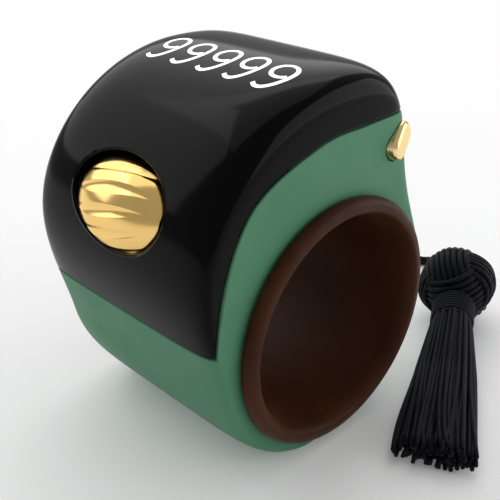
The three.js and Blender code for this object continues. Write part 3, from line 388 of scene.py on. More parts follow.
# %% Shoulder
SHOULDER_TOP = 5
SHOULDER_RING = 1.6
SHOULDER_FRONT = 1.8
SHOULDER_POWER = 5.4
REAR_SHOULDER = (20, 75)
FRONT_SHOULDER = (100, 150)
LOWER_SHOULDER = (175, 240)


def shoulder_depth(turn):
    turn %= 360
    if turn < FRONT_SHOULDER[0]:
        return SHOULDER_RING + (SHOULDER_TOP - SHOULDER_RING) * smooth_step(turn, *REAR_SHOULDER)
    if turn < LOWER_SHOULDER[0]:
        return SHOULDER_TOP - (SHOULDER_TOP - SHOULDER_FRONT) * smooth_step(turn, *FRONT_SHOULDER)
    return SHOULDER_FRONT - (SHOULDER_FRONT - SHOULDER_RING) * smooth_step(turn, *LOWER_SHOULDER)


def middle_radius(turn):
    return float(np.interp(turn % 360, crown_turn, crown_radius, period=360))


SHOULDER_STEPS = 600
USUAL_SHOULDER = 4


def across_table():
    """Distance from the middle line over the shoulder, for steps that crowd towards the side."""
    steps = np.linspace(0, 1, SHOULDER_STEPS)
    across = 1 - (1 - steps) ** SHOULDER_POWER
    fullness = (1 - across ** SHOULDER_POWER) ** (1 / SHOULDER_POWER)
    runs = np.hypot(np.diff(across * HALF_WIDTH), np.diff(fullness * USUAL_SHOULDER))
    return steps, np.concatenate([[0], np.cumsum(runs)])


STEPS, STEP_DISTANCES = across_table()
SIDE_START = float(STEP_DISTANCES[-1])
print("from the middle line to the flat side", round(SIDE_START, 2), "mm")


def across_at(distance):
    """Share of the half width, and fullness of the shoulder, at a distance from the middle line."""
    left = (1 - float(np.interp(distance, STEP_DISTANCES, STEPS))) ** SHOULDER_POWER
    across = 1 - left
    return across, max(0.0, 1 - across ** SHOULDER_POWER) ** (1 / SHOULDER_POWER)


def distance_of(across):
    step = 1 - max(0.0, 1 - across) ** (1 / SHOULDER_POWER)
    return float(np.interp(step, STEPS, STEP_DISTANCES))


def skin_point(turn, cross, lift=0.0):
    """Place on the skin: a turn round the finger hole and a distance across from the middle line."""
    distance = abs(cross)
    across, fullness = across_at(min(distance, SIDE_START))
    radius = middle_radius(turn) - shoulder_depth(turn) * (1 - fullness)
    radius += lift - max(0.0, distance - SIDE_START)
    flat = polar(radius, turn)
    return place(flat.x, math.copysign(across * HALF_WIDTH, cross), flat.y)


def skin_radius(turn, y):
    across = min(1.0, abs(y) / HALF_WIDTH)
    fullness = (1 - across ** SHOULDER_POWER) ** (1 / SHOULDER_POWER)
    return middle_radius(turn) - shoulder_depth(turn) * (1 - fullness)


# %% [markdown]
# The seam between the black cap and the green frame is a line drawn on the side view and carried
# straight across. To lay it on the skin, the line is walked from back to front: where it is outside
# the middle radius it misses the body, between that and the shoulder's foot it crosses the crown, and
# inside that it runs down the flat side.
# %% Seam laid on the skin
SEAM_RADIUS = 16.2
SEAM_RISE = 0.7
SEAM_REAR_RISE = 0.3
SEAM_TURN = 125
SEAM_FRONT = 13.6
SEAM_END_HEIGHT = 2.2
SEAM_END_DROP = 3
SEAM_END_SHARE = 0.12
SEAM_TURN_PULL = Vector((-2.6, -1.9))
SEAM_FRONT_PULL = 4.3
SEAM_GAP = 0.15
SEAM_REAR_STEPS = 600
SEAM_STEPS = 500
SEAM_END_STEPS = 400
CROSSING_STEPS = 160
FAR_FRONT = -40
FAR_REAR = 12


def seam_drawing(gap):
    radius = SEAM_RADIUS + gap
    top = SEAM_RISE + radius
    points = [Vector((x, top + SEAM_REAR_RISE * x / CAP_REAR))
              for x in np.linspace(FAR_REAR, 0, SEAM_REAR_STEPS)[:-1]]
    points += [polar(radius, angle) + Vector((0, SEAM_RISE))
               for angle in np.linspace(90, SEAM_TURN, SEAM_STEPS)]
    turn = points[-1]
    front = Vector((-SEAM_FRONT - gap, SEAM_END_HEIGHT + gap))
    points += geometry.interpolate_bezier(turn, turn + SEAM_TURN_PULL,
                                          Vector((front.x, SEAM_END_HEIGHT + SEAM_FRONT_PULL)),
                                          front, SEAM_STEPS)[1:-1]
    end = Vector((FAR_FRONT, SEAM_END_HEIGHT - SEAM_END_DROP + gap))
    points += [front.lerp(end, share) for share in np.linspace(0, SEAM_END_SHARE, SEAM_END_STEPS)]
    return points


def seam_on_skin(gap):
    """Half of the seam as (turn, distance across) pairs, from the back's middle to the front's."""
    points = seam_drawing(gap)
    turns = [math.degrees(math.atan2(point.y, point.x)) % 360 for point in points]
    drops = np.array([(middle_radius(turn) - point.length) / shoulder_depth(turn)
                      for turn, point in zip(turns, points)])
    inside = np.flatnonzero(drops >= 1)
    first, last = inside[0], inside[-1]
    rear = np.arange(np.flatnonzero(drops[:first] <= 0)[-1], first + 1)
    front = np.arange(last, last + np.flatnonzero(drops[last:] <= 0)[0] + 1)[::-1]
    half = []
    for part in (rear, front):
        side = []
        for distance in np.linspace(0, SIDE_START, CROSSING_STEPS):
            drop = 1 - across_at(distance)[1]
            side.append((float(np.interp(drop, drops[part], np.array(turns)[part])), float(distance)))
        half.append(side)
    flank = [(turns[k], SIDE_START + (drops[k] - 1) * shoulder_depth(turns[k])) for k in inside]
    return half[0] + flank + half[1][::-1]


def evenly_spaced(pairs, count):
    """The same line in even steps on the skin, where each step is, and where each old point was."""
    places = [skin_point(*pair) for pair in pairs]
    along = np.cumsum([0.0] + [(b - a).length for a, b in zip(places, places[1:])])
    wanted = np.linspace(0, along[-1], count + 1)
    turns = np.interp(wanted, along, [pair[0] for pair in pairs])
    crosses = np.interp(wanted, along, [pair[1] for pair in pairs])
    print("loop of", round(along[-1] / MM, 1), "mm in", count, "steps")
    return list(zip(turns, crosses)), wanted, along


# %% [markdown]
# The bead's window is an oval bored square to the cap's front. Each point of its edge is found by
# sliding along the bore's direction until the skin is met.
# %% Window edge on the skin
WINDOW_HALF_LENGTH = 5.75
WINDOW_HALF_HEIGHT = 3.95
WINDOW_ANGLE = 139
WINDOW_TILT = 30.8
WINDOW_MIDDLE = polar(middle_radius(WINDOW_ANGLE), WINDOW_ANGLE)
WINDOW_OUT = polar(1, 180 - WINDOW_TILT)
WINDOW_UP = Vector((WINDOW_OUT.y, -WINDOW_OUT.x))
SEARCH_REACH = (-6, 3)
HALVINGS = 40
WINDOW_STEPS = 360


def window_point(angle):
    y = WINDOW_HALF_LENGTH * math.sin(angle)
    start = WINDOW_MIDDLE + WINDOW_UP * WINDOW_HALF_HEIGHT * math.cos(angle)
    near, far = SEARCH_REACH
    for _ in range(HALVINGS):
        middle = (near + far) / 2
        point = start + WINDOW_OUT * middle
        turn = math.degrees(math.atan2(point.y, point.x)) % 360
        if point.length < skin_radius(turn, y):
            near = middle
        else:
            far = middle
    return turn, math.copysign(distance_of(abs(y) / HALF_WIDTH), y)


window_edge = [window_point(2 * math.pi * step / WINDOW_STEPS) for step in range(WINDOW_STEPS)]
window_turns = [turn for turn, cross in window_edge]
print("window spans", round(min(window_turns)), "to", round(max(window_turns)), "degrees")


# %% [markdown]
# The cap's skin is then a band of quads ruled between two loops, the window's edge and the seam. A
# boolean cut would leave ragged triangles that show in a polished surface; here every edge runs with
# the loops, so reflections stay clean and the edges can be bevelled.
# %% Ruled skin
def ruled_skin(inner, outer, rows):
    """Quads between two loops that list their first point again as their last."""
    bm = bmesh.new()
    count = len(inner) - 1
    bmesh.ops.create_grid(bm, x_segments=count, y_segments=rows, size=0.5)
    for vert in bm.verts:
        number = round((vert.co.x + 0.5) * count)
        share = vert.co.y + 0.5
        turn = inner[number][0] + (outer[number][0] - inner[number][0]) * share
        cross = inner[number][1] + (outer[number][1] - inner[number][1]) * share
        vert.co = skin_point(turn, cross)
    bmesh.ops.remove_doubles(bm, verts=bm.verts[:], dist=1e-8)
    return bm


def face_outwards(bm):
    bmesh.ops.recalc_face_normals(bm, faces=bm.faces[:])
    middle = place(0, 0, 0)
    if sum(face.normal.dot(face.calc_center_median() - middle) for face in bm.faces) < 0:
        bmesh.ops.reverse_faces(bm, faces=bm.faces[:])


def thicken(bm, wall, edge_radius, edge_steps=3):
    """Gives an open skin its wall, and rounds the edges where the wall shows."""
    rim = [edge for edge in bm.edges if edge.is_boundary]
    face_outwards(bm)
    bmesh.ops.solidify(bm, geom=bm.faces[:], thickness=wall * MM)
    bmesh.ops.bevel(bm, geom=[edge for edge in rim if edge.is_valid], offset=edge_radius * MM,
                    affect="EDGES", segments=edge_steps, profile=0.5, material=-1)


# %% [markdown]
# The cap is moulded about 1.3 mm thick, with a pocket inside for the bead. Here its skin is thinner all
# over, so that the bead turns clear of it, and from outside that can't be told. Lacquered black shows
# nearly nothing of its own: its colour is close to zero, and a slow drift of roughness keeps the
# reflections from being perfect.
# %% Cap
CAP_WALL = 0.8
CAP_EDGE = 0.16
CAP_COLUMNS = 440
CAP_ROWS = 72
CAP_RADIUS = 16


def bearing(turn, cross):
    """Direction on the skin from the window's middle, as an angle."""
    return math.atan2(cross, math.radians(turn - WINDOW_ANGLE) * CAP_RADIUS)


def pair_with_window(seam):
    """For each point of the seam, the point of the window's edge that lies towards it."""
    edge = sorted((bearing(*pair), *pair) for pair in window_edge)
    angles = [row[0] for row in edge]
    wanted = [bearing(*pair) for pair in seam]
    turns = np.interp(wanted, angles, [row[1] for row in edge], period=2 * math.pi)
    crosses = np.interp(wanted, angles, [row[2] for row in edge], period=2 * math.pi)
    return list(zip(turns, crosses))


def make_cap_skin():
    half = seam_on_skin(SEAM_GAP)
    other = [(turn, -cross) for turn, cross in half[-2:0:-1]]
    seam = evenly_spaced([*half, *other, half[0]], CAP_COLUMNS)[0]
    bm = ruled_skin(pair_with_window(seam), seam, CAP_ROWS)
    thicken(bm, CAP_WALL, CAP_EDGE)
    return bm


def make_black_gloss():
    material = new_finish("black_gloss_finish", (0.0006, 0.0006, 0.0008), 0.11)
    shader = shader_of(material)
    shader.inputs["Specular IOR Level"].default_value = 0.085
    vary_roughness(material, add_noise(material, scale=140, detail=3), 0.09, 0.13)
    return material


black_gloss = make_black_gloss()
hand_over_bmesh("gloss_cap", make_cap_skin(), None, black_gloss, "case", "black_gloss", "top_shell")

# %% [markdown]
# The frame's skin is ruled the same way, one half at a time: from the bore's edge to the middle line
# under the finger, and to the seam over it. At the seam's two crossings the lines fan out from the
# lower side, so that no quad folds over. A mirror makes the other half. The frame is a thin skin too,
# because its inside is never seen. The surface under it cuts it flat.
# %% Frame
SLEEVE_INNER = 10.9
FRAME_WALL = 0.6
FRAME_EDGE = 0.12
FRAME_COLUMNS = 340
FRAME_ROWS = 44
FAN_TURN = 34
FAN_LENGTH = 22
UNDER_STEPS = 400


def frame_half_loops(count):
    """The bore's edge, and the line opposite: under the finger, then back along the seam."""
    half = seam_on_skin(0)
    rear_turn, front_turn = half[0][0], half[-1][0]
    under = [(float(turn), 0.0) for turn in np.linspace(front_turn, rear_turn + 360, UNDER_STEPS)[:-1]]
    over = [(turn + 360, -cross) for turn, cross in half]
    outer, wanted, along = evenly_spaced(under + over, count)
    rear_at = along[len(under)]
    crossing = SIDE_START * MM
    lead = FAN_LENGTH * MM
    inner = []
    for distance, (turn, _) in zip(wanted, outer):
        back = np.interp(distance, [rear_at - lead, rear_at, rear_at + crossing], [0, 1, 0])
        front = np.interp(distance, [0, lead], [1, 0])
        front += np.interp(distance, [along[-1] - crossing, along[-1]], [0, 1])
        angle = turn - FAN_TURN * back + FAN_TURN * front
        reach = middle_radius(angle) - shoulder_depth(angle) - SLEEVE_INNER
        inner.append((float(angle), -SIDE_START - reach))
    return inner, outer


def on_bore(edge):
    corner = edge.verts[0].co
    reach = (corner - place(0, corner.y / MM, 0)).length
    return edge.is_boundary and abs(reach - SLEEVE_INNER * MM) < 0.2 * MM


def make_frame_skin():
    bm = ruled_skin(*frame_half_loops(FRAME_COLUMNS), FRAME_ROWS)
    bmesh.ops.mirror(bm, geom=bm.verts[:] + bm.edges[:] + bm.faces[:],
                     matrix=Matrix.Identity(4), merge_dist=-1, axis="Y")
    bmesh.ops.remove_doubles(bm, verts=bm.verts[:], dist=2e-6)
    bmesh.ops.bridge_loops(bm, edges=[edge for edge in bm.edges if on_bore(edge)])
    cut = bmesh.ops.bisect_plane(bm, geom=bm.verts[:] + bm.edges[:] + bm.faces[:], dist=1e-8,
                                 plane_co=(0, 0, 0), plane_no=(0, 0, -1), clear_outer=True)
    rim = [item for item in cut["geom_cut"] if isinstance(item, bmesh.types.BMEdge)]
    bmesh.ops.holes_fill(bm, edges=rim, sides=0)
    print("frame skin: open edges", sum(edge.is_boundary for edge in bm.edges))
    return bm


frame_bm = make_frame_skin()
thicken(frame_bm, FRAME_WALL, FRAME_EDGE)
frame_mesh = mesh_from(frame_bm, "green_frame_mesh")

# %% [markdown]
# The count is lit from under the cap and reads as thin white figures. Each figure is one pen stroke: a
# ribbon of quads that starts at the bowl, goes round it and runs down into the tail. The ribbon is laid
# on the crown, which curves, and sunk a little so that it has a real thickness.
# %% Figures of the count
COUNT_DIGITS = 5
DIGIT_PITCH = 3.21
DIGIT_SHIFT = 0.4
DIGIT_HEIGHT = 4.4
DIGIT_WIDTH = 4.2
DIGIT_STROKE = 0.37
DIGIT_MIDDLE_X = -3.1
DIGIT_LIFT = 0.02
DIGIT_THICKNESS = 0.08
DIGIT_CURVE_STEPS = 7
CROWN_TRIES = 12
NINE_MIDDLE = Vector((0.28, 0.5))
NINE_STROKE = [
    (0.47, 0.545), (0.38, 0.475), (0.26, 0.447), (0.13, 0.485), (0.045, 0.595), (0.03, 0.725), (0.09, 0.865),
    (0.2, 0.94), (0.31, 0.947), (0.42, 0.9), (0.505, 0.79), (0.535, 0.64), (0.52, 0.46), (0.455, 0.27),
    (0.35, 0.13), (0.235, 0.06), (0.12, 0.065), (0.03, 0.125),
]


def crown_place(x, y, lift):
    """Place on top of the crown over a drawing point. Each try lands closer to the skin."""
    z = CAP_HEIGHT
    for _ in range(CROWN_TRIES):
        turn = math.degrees(math.atan2(z, x))
        z = math.sqrt(max(0.0, skin_radius(turn, y) ** 2 - x * x))
    return place(x, y, z + lift)


def make_digit(number):
    middle_y = (COUNT_DIGITS - 1) / 2 * DIGIT_PITCH - number * DIGIT_PITCH - DIGIT_SHIFT
    points = [Vector(((x - NINE_MIDDLE.x) * DIGIT_WIDTH, (y - NINE_MIDDLE.y) * DIGIT_HEIGHT))
              for x, y in NINE_STROKE]
    line = smooth_line(points, DIGIT_CURVE_STEPS)
    rings = len(line) - 1
    bm = bmesh.new()
    bmesh.ops.create_grid(bm, x_segments=2, y_segments=rings, size=0.5)
    for vert in bm.verts:
        ring = round((vert.co.y + 0.5) * rings)
        ahead = (line[min(rings, ring + 1)] - line[max(0, ring - 1)]).normalized()
        beside = Vector((-ahead.y, ahead.x)) * vert.co.x * DIGIT_STROKE
        pen = line[ring] + beside
        vert.co = crown_place(DIGIT_MIDDLE_X + pen.y, middle_y - pen.x, DIGIT_LIFT)
    face_outwards(bm)
    bmesh.ops.solidify(bm, geom=bm.faces[:], thickness=DIGIT_THICKNESS * MM)
    return bm


def make_lit_white():
    material = new_finish("lit_white_finish", (0.85, 0.87, 0.9), 0.4)
    shader = shader_of(material)
    glow = add_noise(material, scale=900, detail=1)
    vary_color(material, glow, (0.8, 0.82, 0.85), (0.88, 0.9, 0.92))
    shader.inputs["Emission Color"].default_value = (0.95, 0.97, 1, 1)
    shader.inputs["Emission Strength"].default_value = 0.75
    return material


lit_white = make_lit_white()
for number in range(COUNT_DIGITS):
    hand_over_bmesh(f"count_digit_{number + 1}", make_digit(number), 40, lit_white, "case", "black_gloss")

# %% [markdown]
# The liner is one turned part of soft silicone: a bore with a rounded lip on each side. Half of its
# section is drawn as a line of points, mirrored, closed and spun once round the finger's axis.
# %% Finger liner
FINGER_RADIUS = 9.75
LINER_RADIUS = 10.65
LIP_RADIUS = 11.5
LIP_BACK = HALF_WIDTH + 0.25
LIP_FRONT = LIP_BACK + 1.05
MOUTH_DEPTH = 0.6
LIP_PEAK_INSET = 1
LIP_CORNER = 0.12
LIP_FOOT = 0.08
MOUTH_PULL = 0.7
PEAK_PULL = 0.4
BACK_PULL = Vector((0.03, -0.3))
BORE_STEPS = 9
LINER_SIDES = 160


def liner_section():
    """Points (radius, distance along the finger) of the lip, from the bore round to its back."""
    bore_end = Vector((FINGER_RADIUS, LIP_BACK - MOUTH_DEPTH))
    peak = Vector((LIP_RADIUS - LIP_PEAK_INSET, LIP_FRONT))
    back = Vector((LIP_RADIUS, LIP_BACK + LIP_CORNER))
    corner = Vector((LIP_RADIUS - LIP_CORNER, LIP_BACK))
    curve = geometry.interpolate_bezier(bore_end, Vector((FINGER_RADIUS, LIP_FRONT - MOUTH_PULL)),
                                        Vector((FINGER_RADIUS + PEAK_PULL, LIP_FRONT)), peak, 18)
    curve += geometry.interpolate_bezier(peak, Vector((LIP_RADIUS - PEAK_PULL, LIP_FRONT)),
                                         Vector((LIP_RADIUS, LIP_FRONT)) + BACK_PULL, back, 14)[1:]
    curve += geometry.interpolate_bezier(back, Vector((LIP_RADIUS, LIP_BACK + LIP_CORNER / 3)),
                                         Vector((LIP_RADIUS - LIP_CORNER / 3, LIP_BACK)), corner, 5)[1:]
    return [*curve, Vector((LINER_RADIUS + LIP_FOOT, LIP_BACK)),
            Vector((LINER_RADIUS, LIP_BACK - LIP_FOOT))]


def spun(section, axis_point, axis, steps):
    """Spins a line of places once round an axis. A ring's line ends where it starts."""
    bm = bmesh.new()
    verts = [bm.verts.new(point) for point in section]
    edges = [bm.edges.new(pair) for pair in zip(verts, verts[1:])]
    bmesh.ops.spin(bm, geom=verts + edges, cent=axis_point, axis=axis, angle=2 * math.pi, steps=steps,
                   use_merge=True)
    bmesh.ops.remove_doubles(bm, verts=bm.verts[:], dist=1e-7)
    bmesh.ops.recalc_face_normals(bm, faces=bm.faces[:])
    return bm


def make_liner():
    half = liner_section()
    bore_end = LIP_BACK - MOUTH_DEPTH
    bore = [Vector((FINGER_RADIUS, y)) for y in np.linspace(-bore_end, bore_end, BORE_STEPS)[1:-1]]
    other = [Vector((point.x, -point.y)) for point in half]
    outline = half + other[::-1] + bore
    places = [place(point.x, point.y, 0) for point in [*outline, outline[0]]]
    return spun(places, place(0, 0, 0), (0, 1, 0), LINER_SIDES)


def make_silicone():
    """Soft silicone: light sinks in a little, and fine dust dulls it here and there."""
    material = new_finish("brown_silicone_finish", (0.045, 0.013, 0.0045), 0.42)
    shader = shader_of(material)
    shader.inputs["Subsurface Weight"].default_value = 0.08
    shader.inputs["Subsurface Radius"].default_value = (1.0, 0.35, 0.12)
    shader.inputs["Subsurface Scale"].default_value = 0.0006
    shader.inputs["Specular IOR Level"].default_value = 0.1
    shader.inputs["Sheen Weight"].default_value = 0.02
    shader.inputs["Sheen Tint"].default_value = (1, 0.6, 0.4, 1)
    dust = add_noise(material, scale=1100, detail=4)
    drift = add_noise(material, scale=160, detail=3)
    vary_color(material, drift, (0.042, 0.012, 0.004), (0.062, 0.02, 0.0075))
    vary_roughness(material, dust, 0.36, 0.5)
    add_bump(material, dust, distance=0.00001, strength=0.35)
    return material


brown_silicone = make_silicone()
hand_over_bmesh("silicone_liner", make_liner(), None, brown_silicone, "case", "brown_silicone",
                "finger_liner")

# %% [markdown]
# The bead is a polished barrel with thirteen leaf-shaped scoops, each cut along a slightly twisted line
# and running out to a point before the smooth ends. A grid of rings follows the twist, and its lines
# crowd towards the two edges of each scoop, so that the edges stay crisp and the lands between them
# stay round.
# %% Count bead
BEAD_RADIUS = 4.1
BEAD_HALF = 5.1
BEAD_TAPER_HALF = 5.9
BEAD_TAPER_POWER = 2.2
BEAD_SCOOPS = 13
SCOOP_DEPTH = 0.22
SCOOP_SHARE = 0.56
SCOOP_HALF_LENGTH = 4.6
SCOOP_TWIST = 0.055
BEAD_BORE = 1.6
BEAD_SINK = 2.6
BEAD_RISE = 0.05
BEAD_MIDDLE = WINDOW_MIDDLE - WINDOW_OUT * BEAD_SINK + WINDOW_UP * BEAD_RISE
BEAD_RINGS = 150
SIDES_PER_SCOOP = 28
STEPS_IN_SCOOP = 0.6
LEAF_POWER = 0.75
LEAF_POINT = 0.02
SOFT_EDGE = 0.008


def scoop_share(y):
    """Half width of a scoop, as a share of half the pitch, at a distance along the bead."""
    left = max(0.0, 1 - (y / SCOOP_HALF_LENGTH) ** 2)
    return max(LEAF_POINT, SCOOP_SHARE * left ** LEAF_POWER)


def bead_radius(y, off):
    """Radius at a distance along the bead. off is 0 in a scoop's middle and 1 midway to the next."""
    barrel = BEAD_RADIUS * math.sqrt(1 - (abs(y) / BEAD_TAPER_HALF) ** BEAD_TAPER_POWER)
    left = max(0.0, 1 - (y / SCOOP_HALF_LENGTH) ** 2)
    inside = SCOOP_DEPTH * left ** (2 * LEAF_POWER) * (1 - (off / scoop_share(y)) ** 2)
    return barrel - (inside + math.hypot(inside, SOFT_EDGE)) / 2


def scoop_off(step, y):
    """Moves even steps from a scoop's middle (0) to the land's middle (1) so that some lie on its edge."""
    edge = scoop_share(y)
    if step < STEPS_IN_SCOOP:
        return edge * math.sin(step / STEPS_IN_SCOOP * math.pi / 2)
    beyond = (step - STEPS_IN_SCOOP) / (1 - STEPS_IN_SCOOP)
    return edge + (1 - edge) * (1 - math.cos(beyond * math.pi / 2))


def make_bead():
    sides = BEAD_SCOOPS * SIDES_PER_SCOOP
    bm = bmesh.new()
    bmesh.ops.create_grid(bm, x_segments=sides, y_segments=BEAD_RINGS, size=0.5)
    for vert in bm.verts:
        turn = (vert.co.x + 0.5) * BEAD_SCOOPS
        y = BEAD_HALF * math.sin(math.pi * vert.co.y)
        nearest = round(turn)
        off = scoop_off(2 * abs(turn - nearest), y)
        turn = nearest + math.copysign(off / 2, turn - nearest)
        angle = turn * 2 * math.pi / BEAD_SCOOPS + SCOOP_TWIST * y
        radius = bead_radius(y, off)
        spoke = Vector((math.cos(angle), math.sin(angle))) * radius
        vert.co = place(BEAD_MIDDLE.x + spoke.x, y, BEAD_MIDDLE.y + spoke.y)
    bmesh.ops.remove_doubles(bm, verts=bm.verts[:], dist=1e-8)
    middle = place(BEAD_MIDDLE.x, 0, BEAD_MIDDLE.y)
    inner = []
    for sign in (-1, 1):
        end = [edge for edge in bm.edges if edge.is_boundary and edge.verts[0].co.y * sign > 0]
        grown = bmesh.ops.extrude_edge_only(bm, edges=end)["geom"]
        for vert in [item for item in grown if isinstance(item, bmesh.types.BMVert)]:
            out = Vector((vert.co.x - middle.x, 0, vert.co.z - middle.z)).normalized()
            vert.co = middle + Vector((0, sign * BEAD_HALF * MM, 0)) + out * BEAD_BORE * MM
        inner += [item for item in grown if isinstance(item, bmesh.types.BMEdge) and item.is_boundary]
    bmesh.ops.bridge_loops(bm, edges=inner)
    bmesh.ops.recalc_face_normals(bm, faces=bm.faces[:])
    return bm


def make_gold(name, color, roughness, scratch):
    """Polished plating: fine lines of the polishing wheel, and a tone that drifts very slightly."""
    material = new_finish(name, color, roughness, 1.0)
    shader = shader_of(material)
    polish = add_noise(material, scale=700, detail=5, stretch=(1, 0.25, 1))
    vary_roughness(material, polish, roughness * 0.8, roughness * 1.25)
    darker = tuple(part * 0.93 for part in color)
    vary_color(material, add_noise(material, scale=250, detail=2), darker, color)
    add_bump(material, polish, distance=scratch, strength=0.3)
    shader.inputs["Specular Tint"].default_value = (1, 0.93, 0.72, 1)
    return material


bead_gold = make_gold("bead_gold_finish", (1.0, 0.67, 0.24), 0.18, 0.000003)
hand_over_bmesh("gold_bead", make_bead(), 40, bead_gold, "bead", "gold", "count_bead")

# %% [markdown]
# The side button is a gold pill set square to the frame's rounded corner. It starts as a circle whose
# halves are pulled apart, is raised by extruding, and has its upper edge bevelled wide and soft.
# %% Side button
BUTTON_ANGLE = 62.8
BUTTON_RADIAL = 16.5
BUTTON_TURN = 63
BUTTON_LENGTH = 3.6
BUTTON_WIDTH = 2.4
BUTTON_PROUD = 0.5
BUTTON_DEPTH = 1.75
BUTTON_FLANGE = 0.35
FLANGE_THICKNESS = 0.5
BUTTON_CLEARANCE = 0.12
BUTTON_ROUNDING = 0.45
BUTTON_OUT = Vector((0.26, -0.96, 0.07)).normalized()
BUTTON_EDGE = Vector((-0.27, 0, 0.963))


def button_frame():
    """Matrix from the button's own axes (along the pill, across it, outward) to the drawing."""
    fullness = 1 - (middle_radius(BUTTON_ANGLE) - BUTTON_RADIAL) / shoulder_depth(BUTTON_ANGLE)
    across = (1 - fullness ** SHOULDER_POWER) ** (1 / SHOULDER_POWER)
    flat = polar(BUTTON_RADIAL, BUTTON_ANGLE)
    round_way = BUTTON_OUT.cross(BUTTON_EDGE).normalized()
    up = BUTTON_OUT.cross(round_way).normalized()
    up = up if up.z > 0 else -up
    round_way = round_way if round_way.x > 0 else -round_way
    turn = math.radians(BUTTON_TURN)
    along = (up * math.cos(turn) + round_way * math.sin(turn)).normalized()
    sideways = BUTTON_OUT.cross(along).normalized()
    matrix = Matrix((along, sideways, BUTTON_OUT)).transposed().to_4x4()
    matrix.translation = Vector((flat.x, -across * HALF_WIDTH, flat.y))
    return matrix


BUTTON_FRAME = button_frame()


def pill_outline(bm, grow, height, sides=48):
    radius = BUTTON_WIDTH / 2 + grow
    ring = bmesh.ops.create_circle(bm, cap_ends=True, segments=sides, radius=radius)["verts"]
    shift = (BUTTON_LENGTH - BUTTON_WIDTH) / 2
    for vert in ring:
        vert.co.x += math.copysign(shift, vert.co.x + 1e-9)
        vert.co.z = height
    return list({face for vert in ring for face in vert.link_faces})


def raise_faces(bm, faces, height, grow=0.0):
    """Extrudes a flat cap of faces by a height and lets its outline grow or shrink."""
    grown = bmesh.ops.extrude_face_region(bm, geom=faces)["geom"]
    bmesh.ops.delete(bm, geom=[face for face in faces if face.is_valid], context="FACES")
    verts = [item for item in grown if isinstance(item, bmesh.types.BMVert)]
    half = (BUTTON_LENGTH - BUTTON_WIDTH) / 2
    for vert in verts:
        vert.co.z += height
        middle = Vector((math.copysign(half, vert.co.x), 0, vert.co.z))
        vert.co += (vert.co - middle).normalized() * grow
    return [item for item in grown if isinstance(item, bmesh.types.BMFace)]


def to_drawing(bm, matrix):
    bmesh.ops.transform(bm, matrix=matrix, verts=bm.verts[:])
    for vert in bm.verts:
        vert.co = place(*vert.co)


def make_button():
    bm = bmesh.new()
    bottom = -BUTTON_DEPTH - FLANGE_THICKNESS
    faces = pill_outline(bm, BUTTON_FLANGE, bottom)
    bmesh.ops.duplicate(bm, geom=faces)
    faces = raise_faces(bm, faces, FLANGE_THICKNESS)
    faces = raise_faces(bm, faces, 0, -BUTTON_FLANGE)
    faces = raise_faces(bm, faces, BUTTON_DEPTH + BUTTON_PROUD)
    top = max(vert.co.z for vert in bm.verts)
    bmesh.ops.remove_doubles(bm, verts=bm.verts[:], dist=1e-4)
    bm.normal_update()
    rim = [edge for edge in bm.edges if min(v.co.z for v in edge.verts) > top - 1e-4
           and len(edge.link_faces) == 2 and edge.calc_face_angle() > 1]
    bmesh.ops.bevel(bm, geom=rim, offset=BUTTON_ROUNDING, affect="EDGES", segments=5,
                    profile=0.5, material=-1)
    bmesh.ops.recalc_face_normals(bm, faces=bm.faces[:])
    to_drawing(bm, BUTTON_FRAME)
    return bm


button_gold = make_gold("button_gold_finish", (1.0, 0.76, 0.38), 0.2, 0.000006)
hand_over_bmesh("gold_side_button", make_button(), 50, button_gold, "button", "gold", "side_button")

# %% Holes and finish of the frame
PIN_RADIUS = 0.75
PIN_LENGTH = 2.3
PIN_PITCH = 3.2
PIN_HEIGHT = 13
PIN_PROUD = 0.1
PIN_ROUNDING = 0.14
PIN_OUT = Vector((0.97, 0, 0.24)).normalized()
EYELET_ANGLE = -25
EYELET_SEAT = 13.1
EYELET_FLANGE = 0.7
EYELET_FLANGE_RADIUS = 1.9
EYELET_TUBE_RADIUS = 1.05
EYELET_HOLE_RADIUS = 0.7
EYELET_INNER_END = 12.25
FLANGE_ROUNDING = 0.3
HOLE_ROUNDING = 0.25
RUNNING_GAP = 0.1
DRILL_FROM = 11.5
DRILL_TO = 16
DRILL_OVERRUN = 3
PIN_DRILL_DEPTH = 2
BUTTON_DRILL_DEPTH = BUTTON_DEPTH + 1


def along_eyelet(distance):
    point = polar(distance, EYELET_ANGLE)
    return place(point.x, 0, point.y)


def rear_place(height, y):
    """Place on the rear of the crown's middle outline at a height."""
    rear = [point for point in crown if point.x > 0]
    best = min(rear, key=lambda point: abs(point.y - height))
    return place(best.x, y, best.y)


PIN_PLACES = [rear_place(PIN_HEIGHT, side * PIN_PITCH / 2) for side in (-1, 1)]
EYELET_OUT = (along_eyelet(1) - along_eyelet(0)).normalized()


def button_drill():
    bm = bmesh.new()
    faces = pill_outline(bm, BUTTON_CLEARANCE, -BUTTON_DRILL_DEPTH)
    bmesh.ops.duplicate(bm, geom=faces)
    raise_faces(bm, faces, BUTTON_DRILL_DEPTH + DRILL_OVERRUN)
    bmesh.ops.remove_doubles(bm, verts=bm.verts[:], dist=1e-4)
    bmesh.ops.recalc_face_normals(bm, faces=bm.faces[:])
    to_drawing(bm, BUTTON_FRAME)
    return bm


def frame_drills():
    drills = [button_drill()]
    for spot in PIN_PLACES:
        low = spot - PIN_OUT * PIN_DRILL_DEPTH * MM
        drills.append(rod_between(low, spot + PIN_OUT * DRILL_OVERRUN * MM, PIN_RADIUS + RUNNING_GAP))
    outside = along_eyelet(DRILL_TO)
    drills.append(rod_between(along_eyelet(DRILL_FROM), outside, EYELET_TUBE_RADIUS + RUNNING_GAP))
    drills.append(rod_between(along_eyelet(EYELET_SEAT - RUNNING_GAP), outside,
                              EYELET_FLANGE_RADIUS + RUNNING_GAP))
    return drills


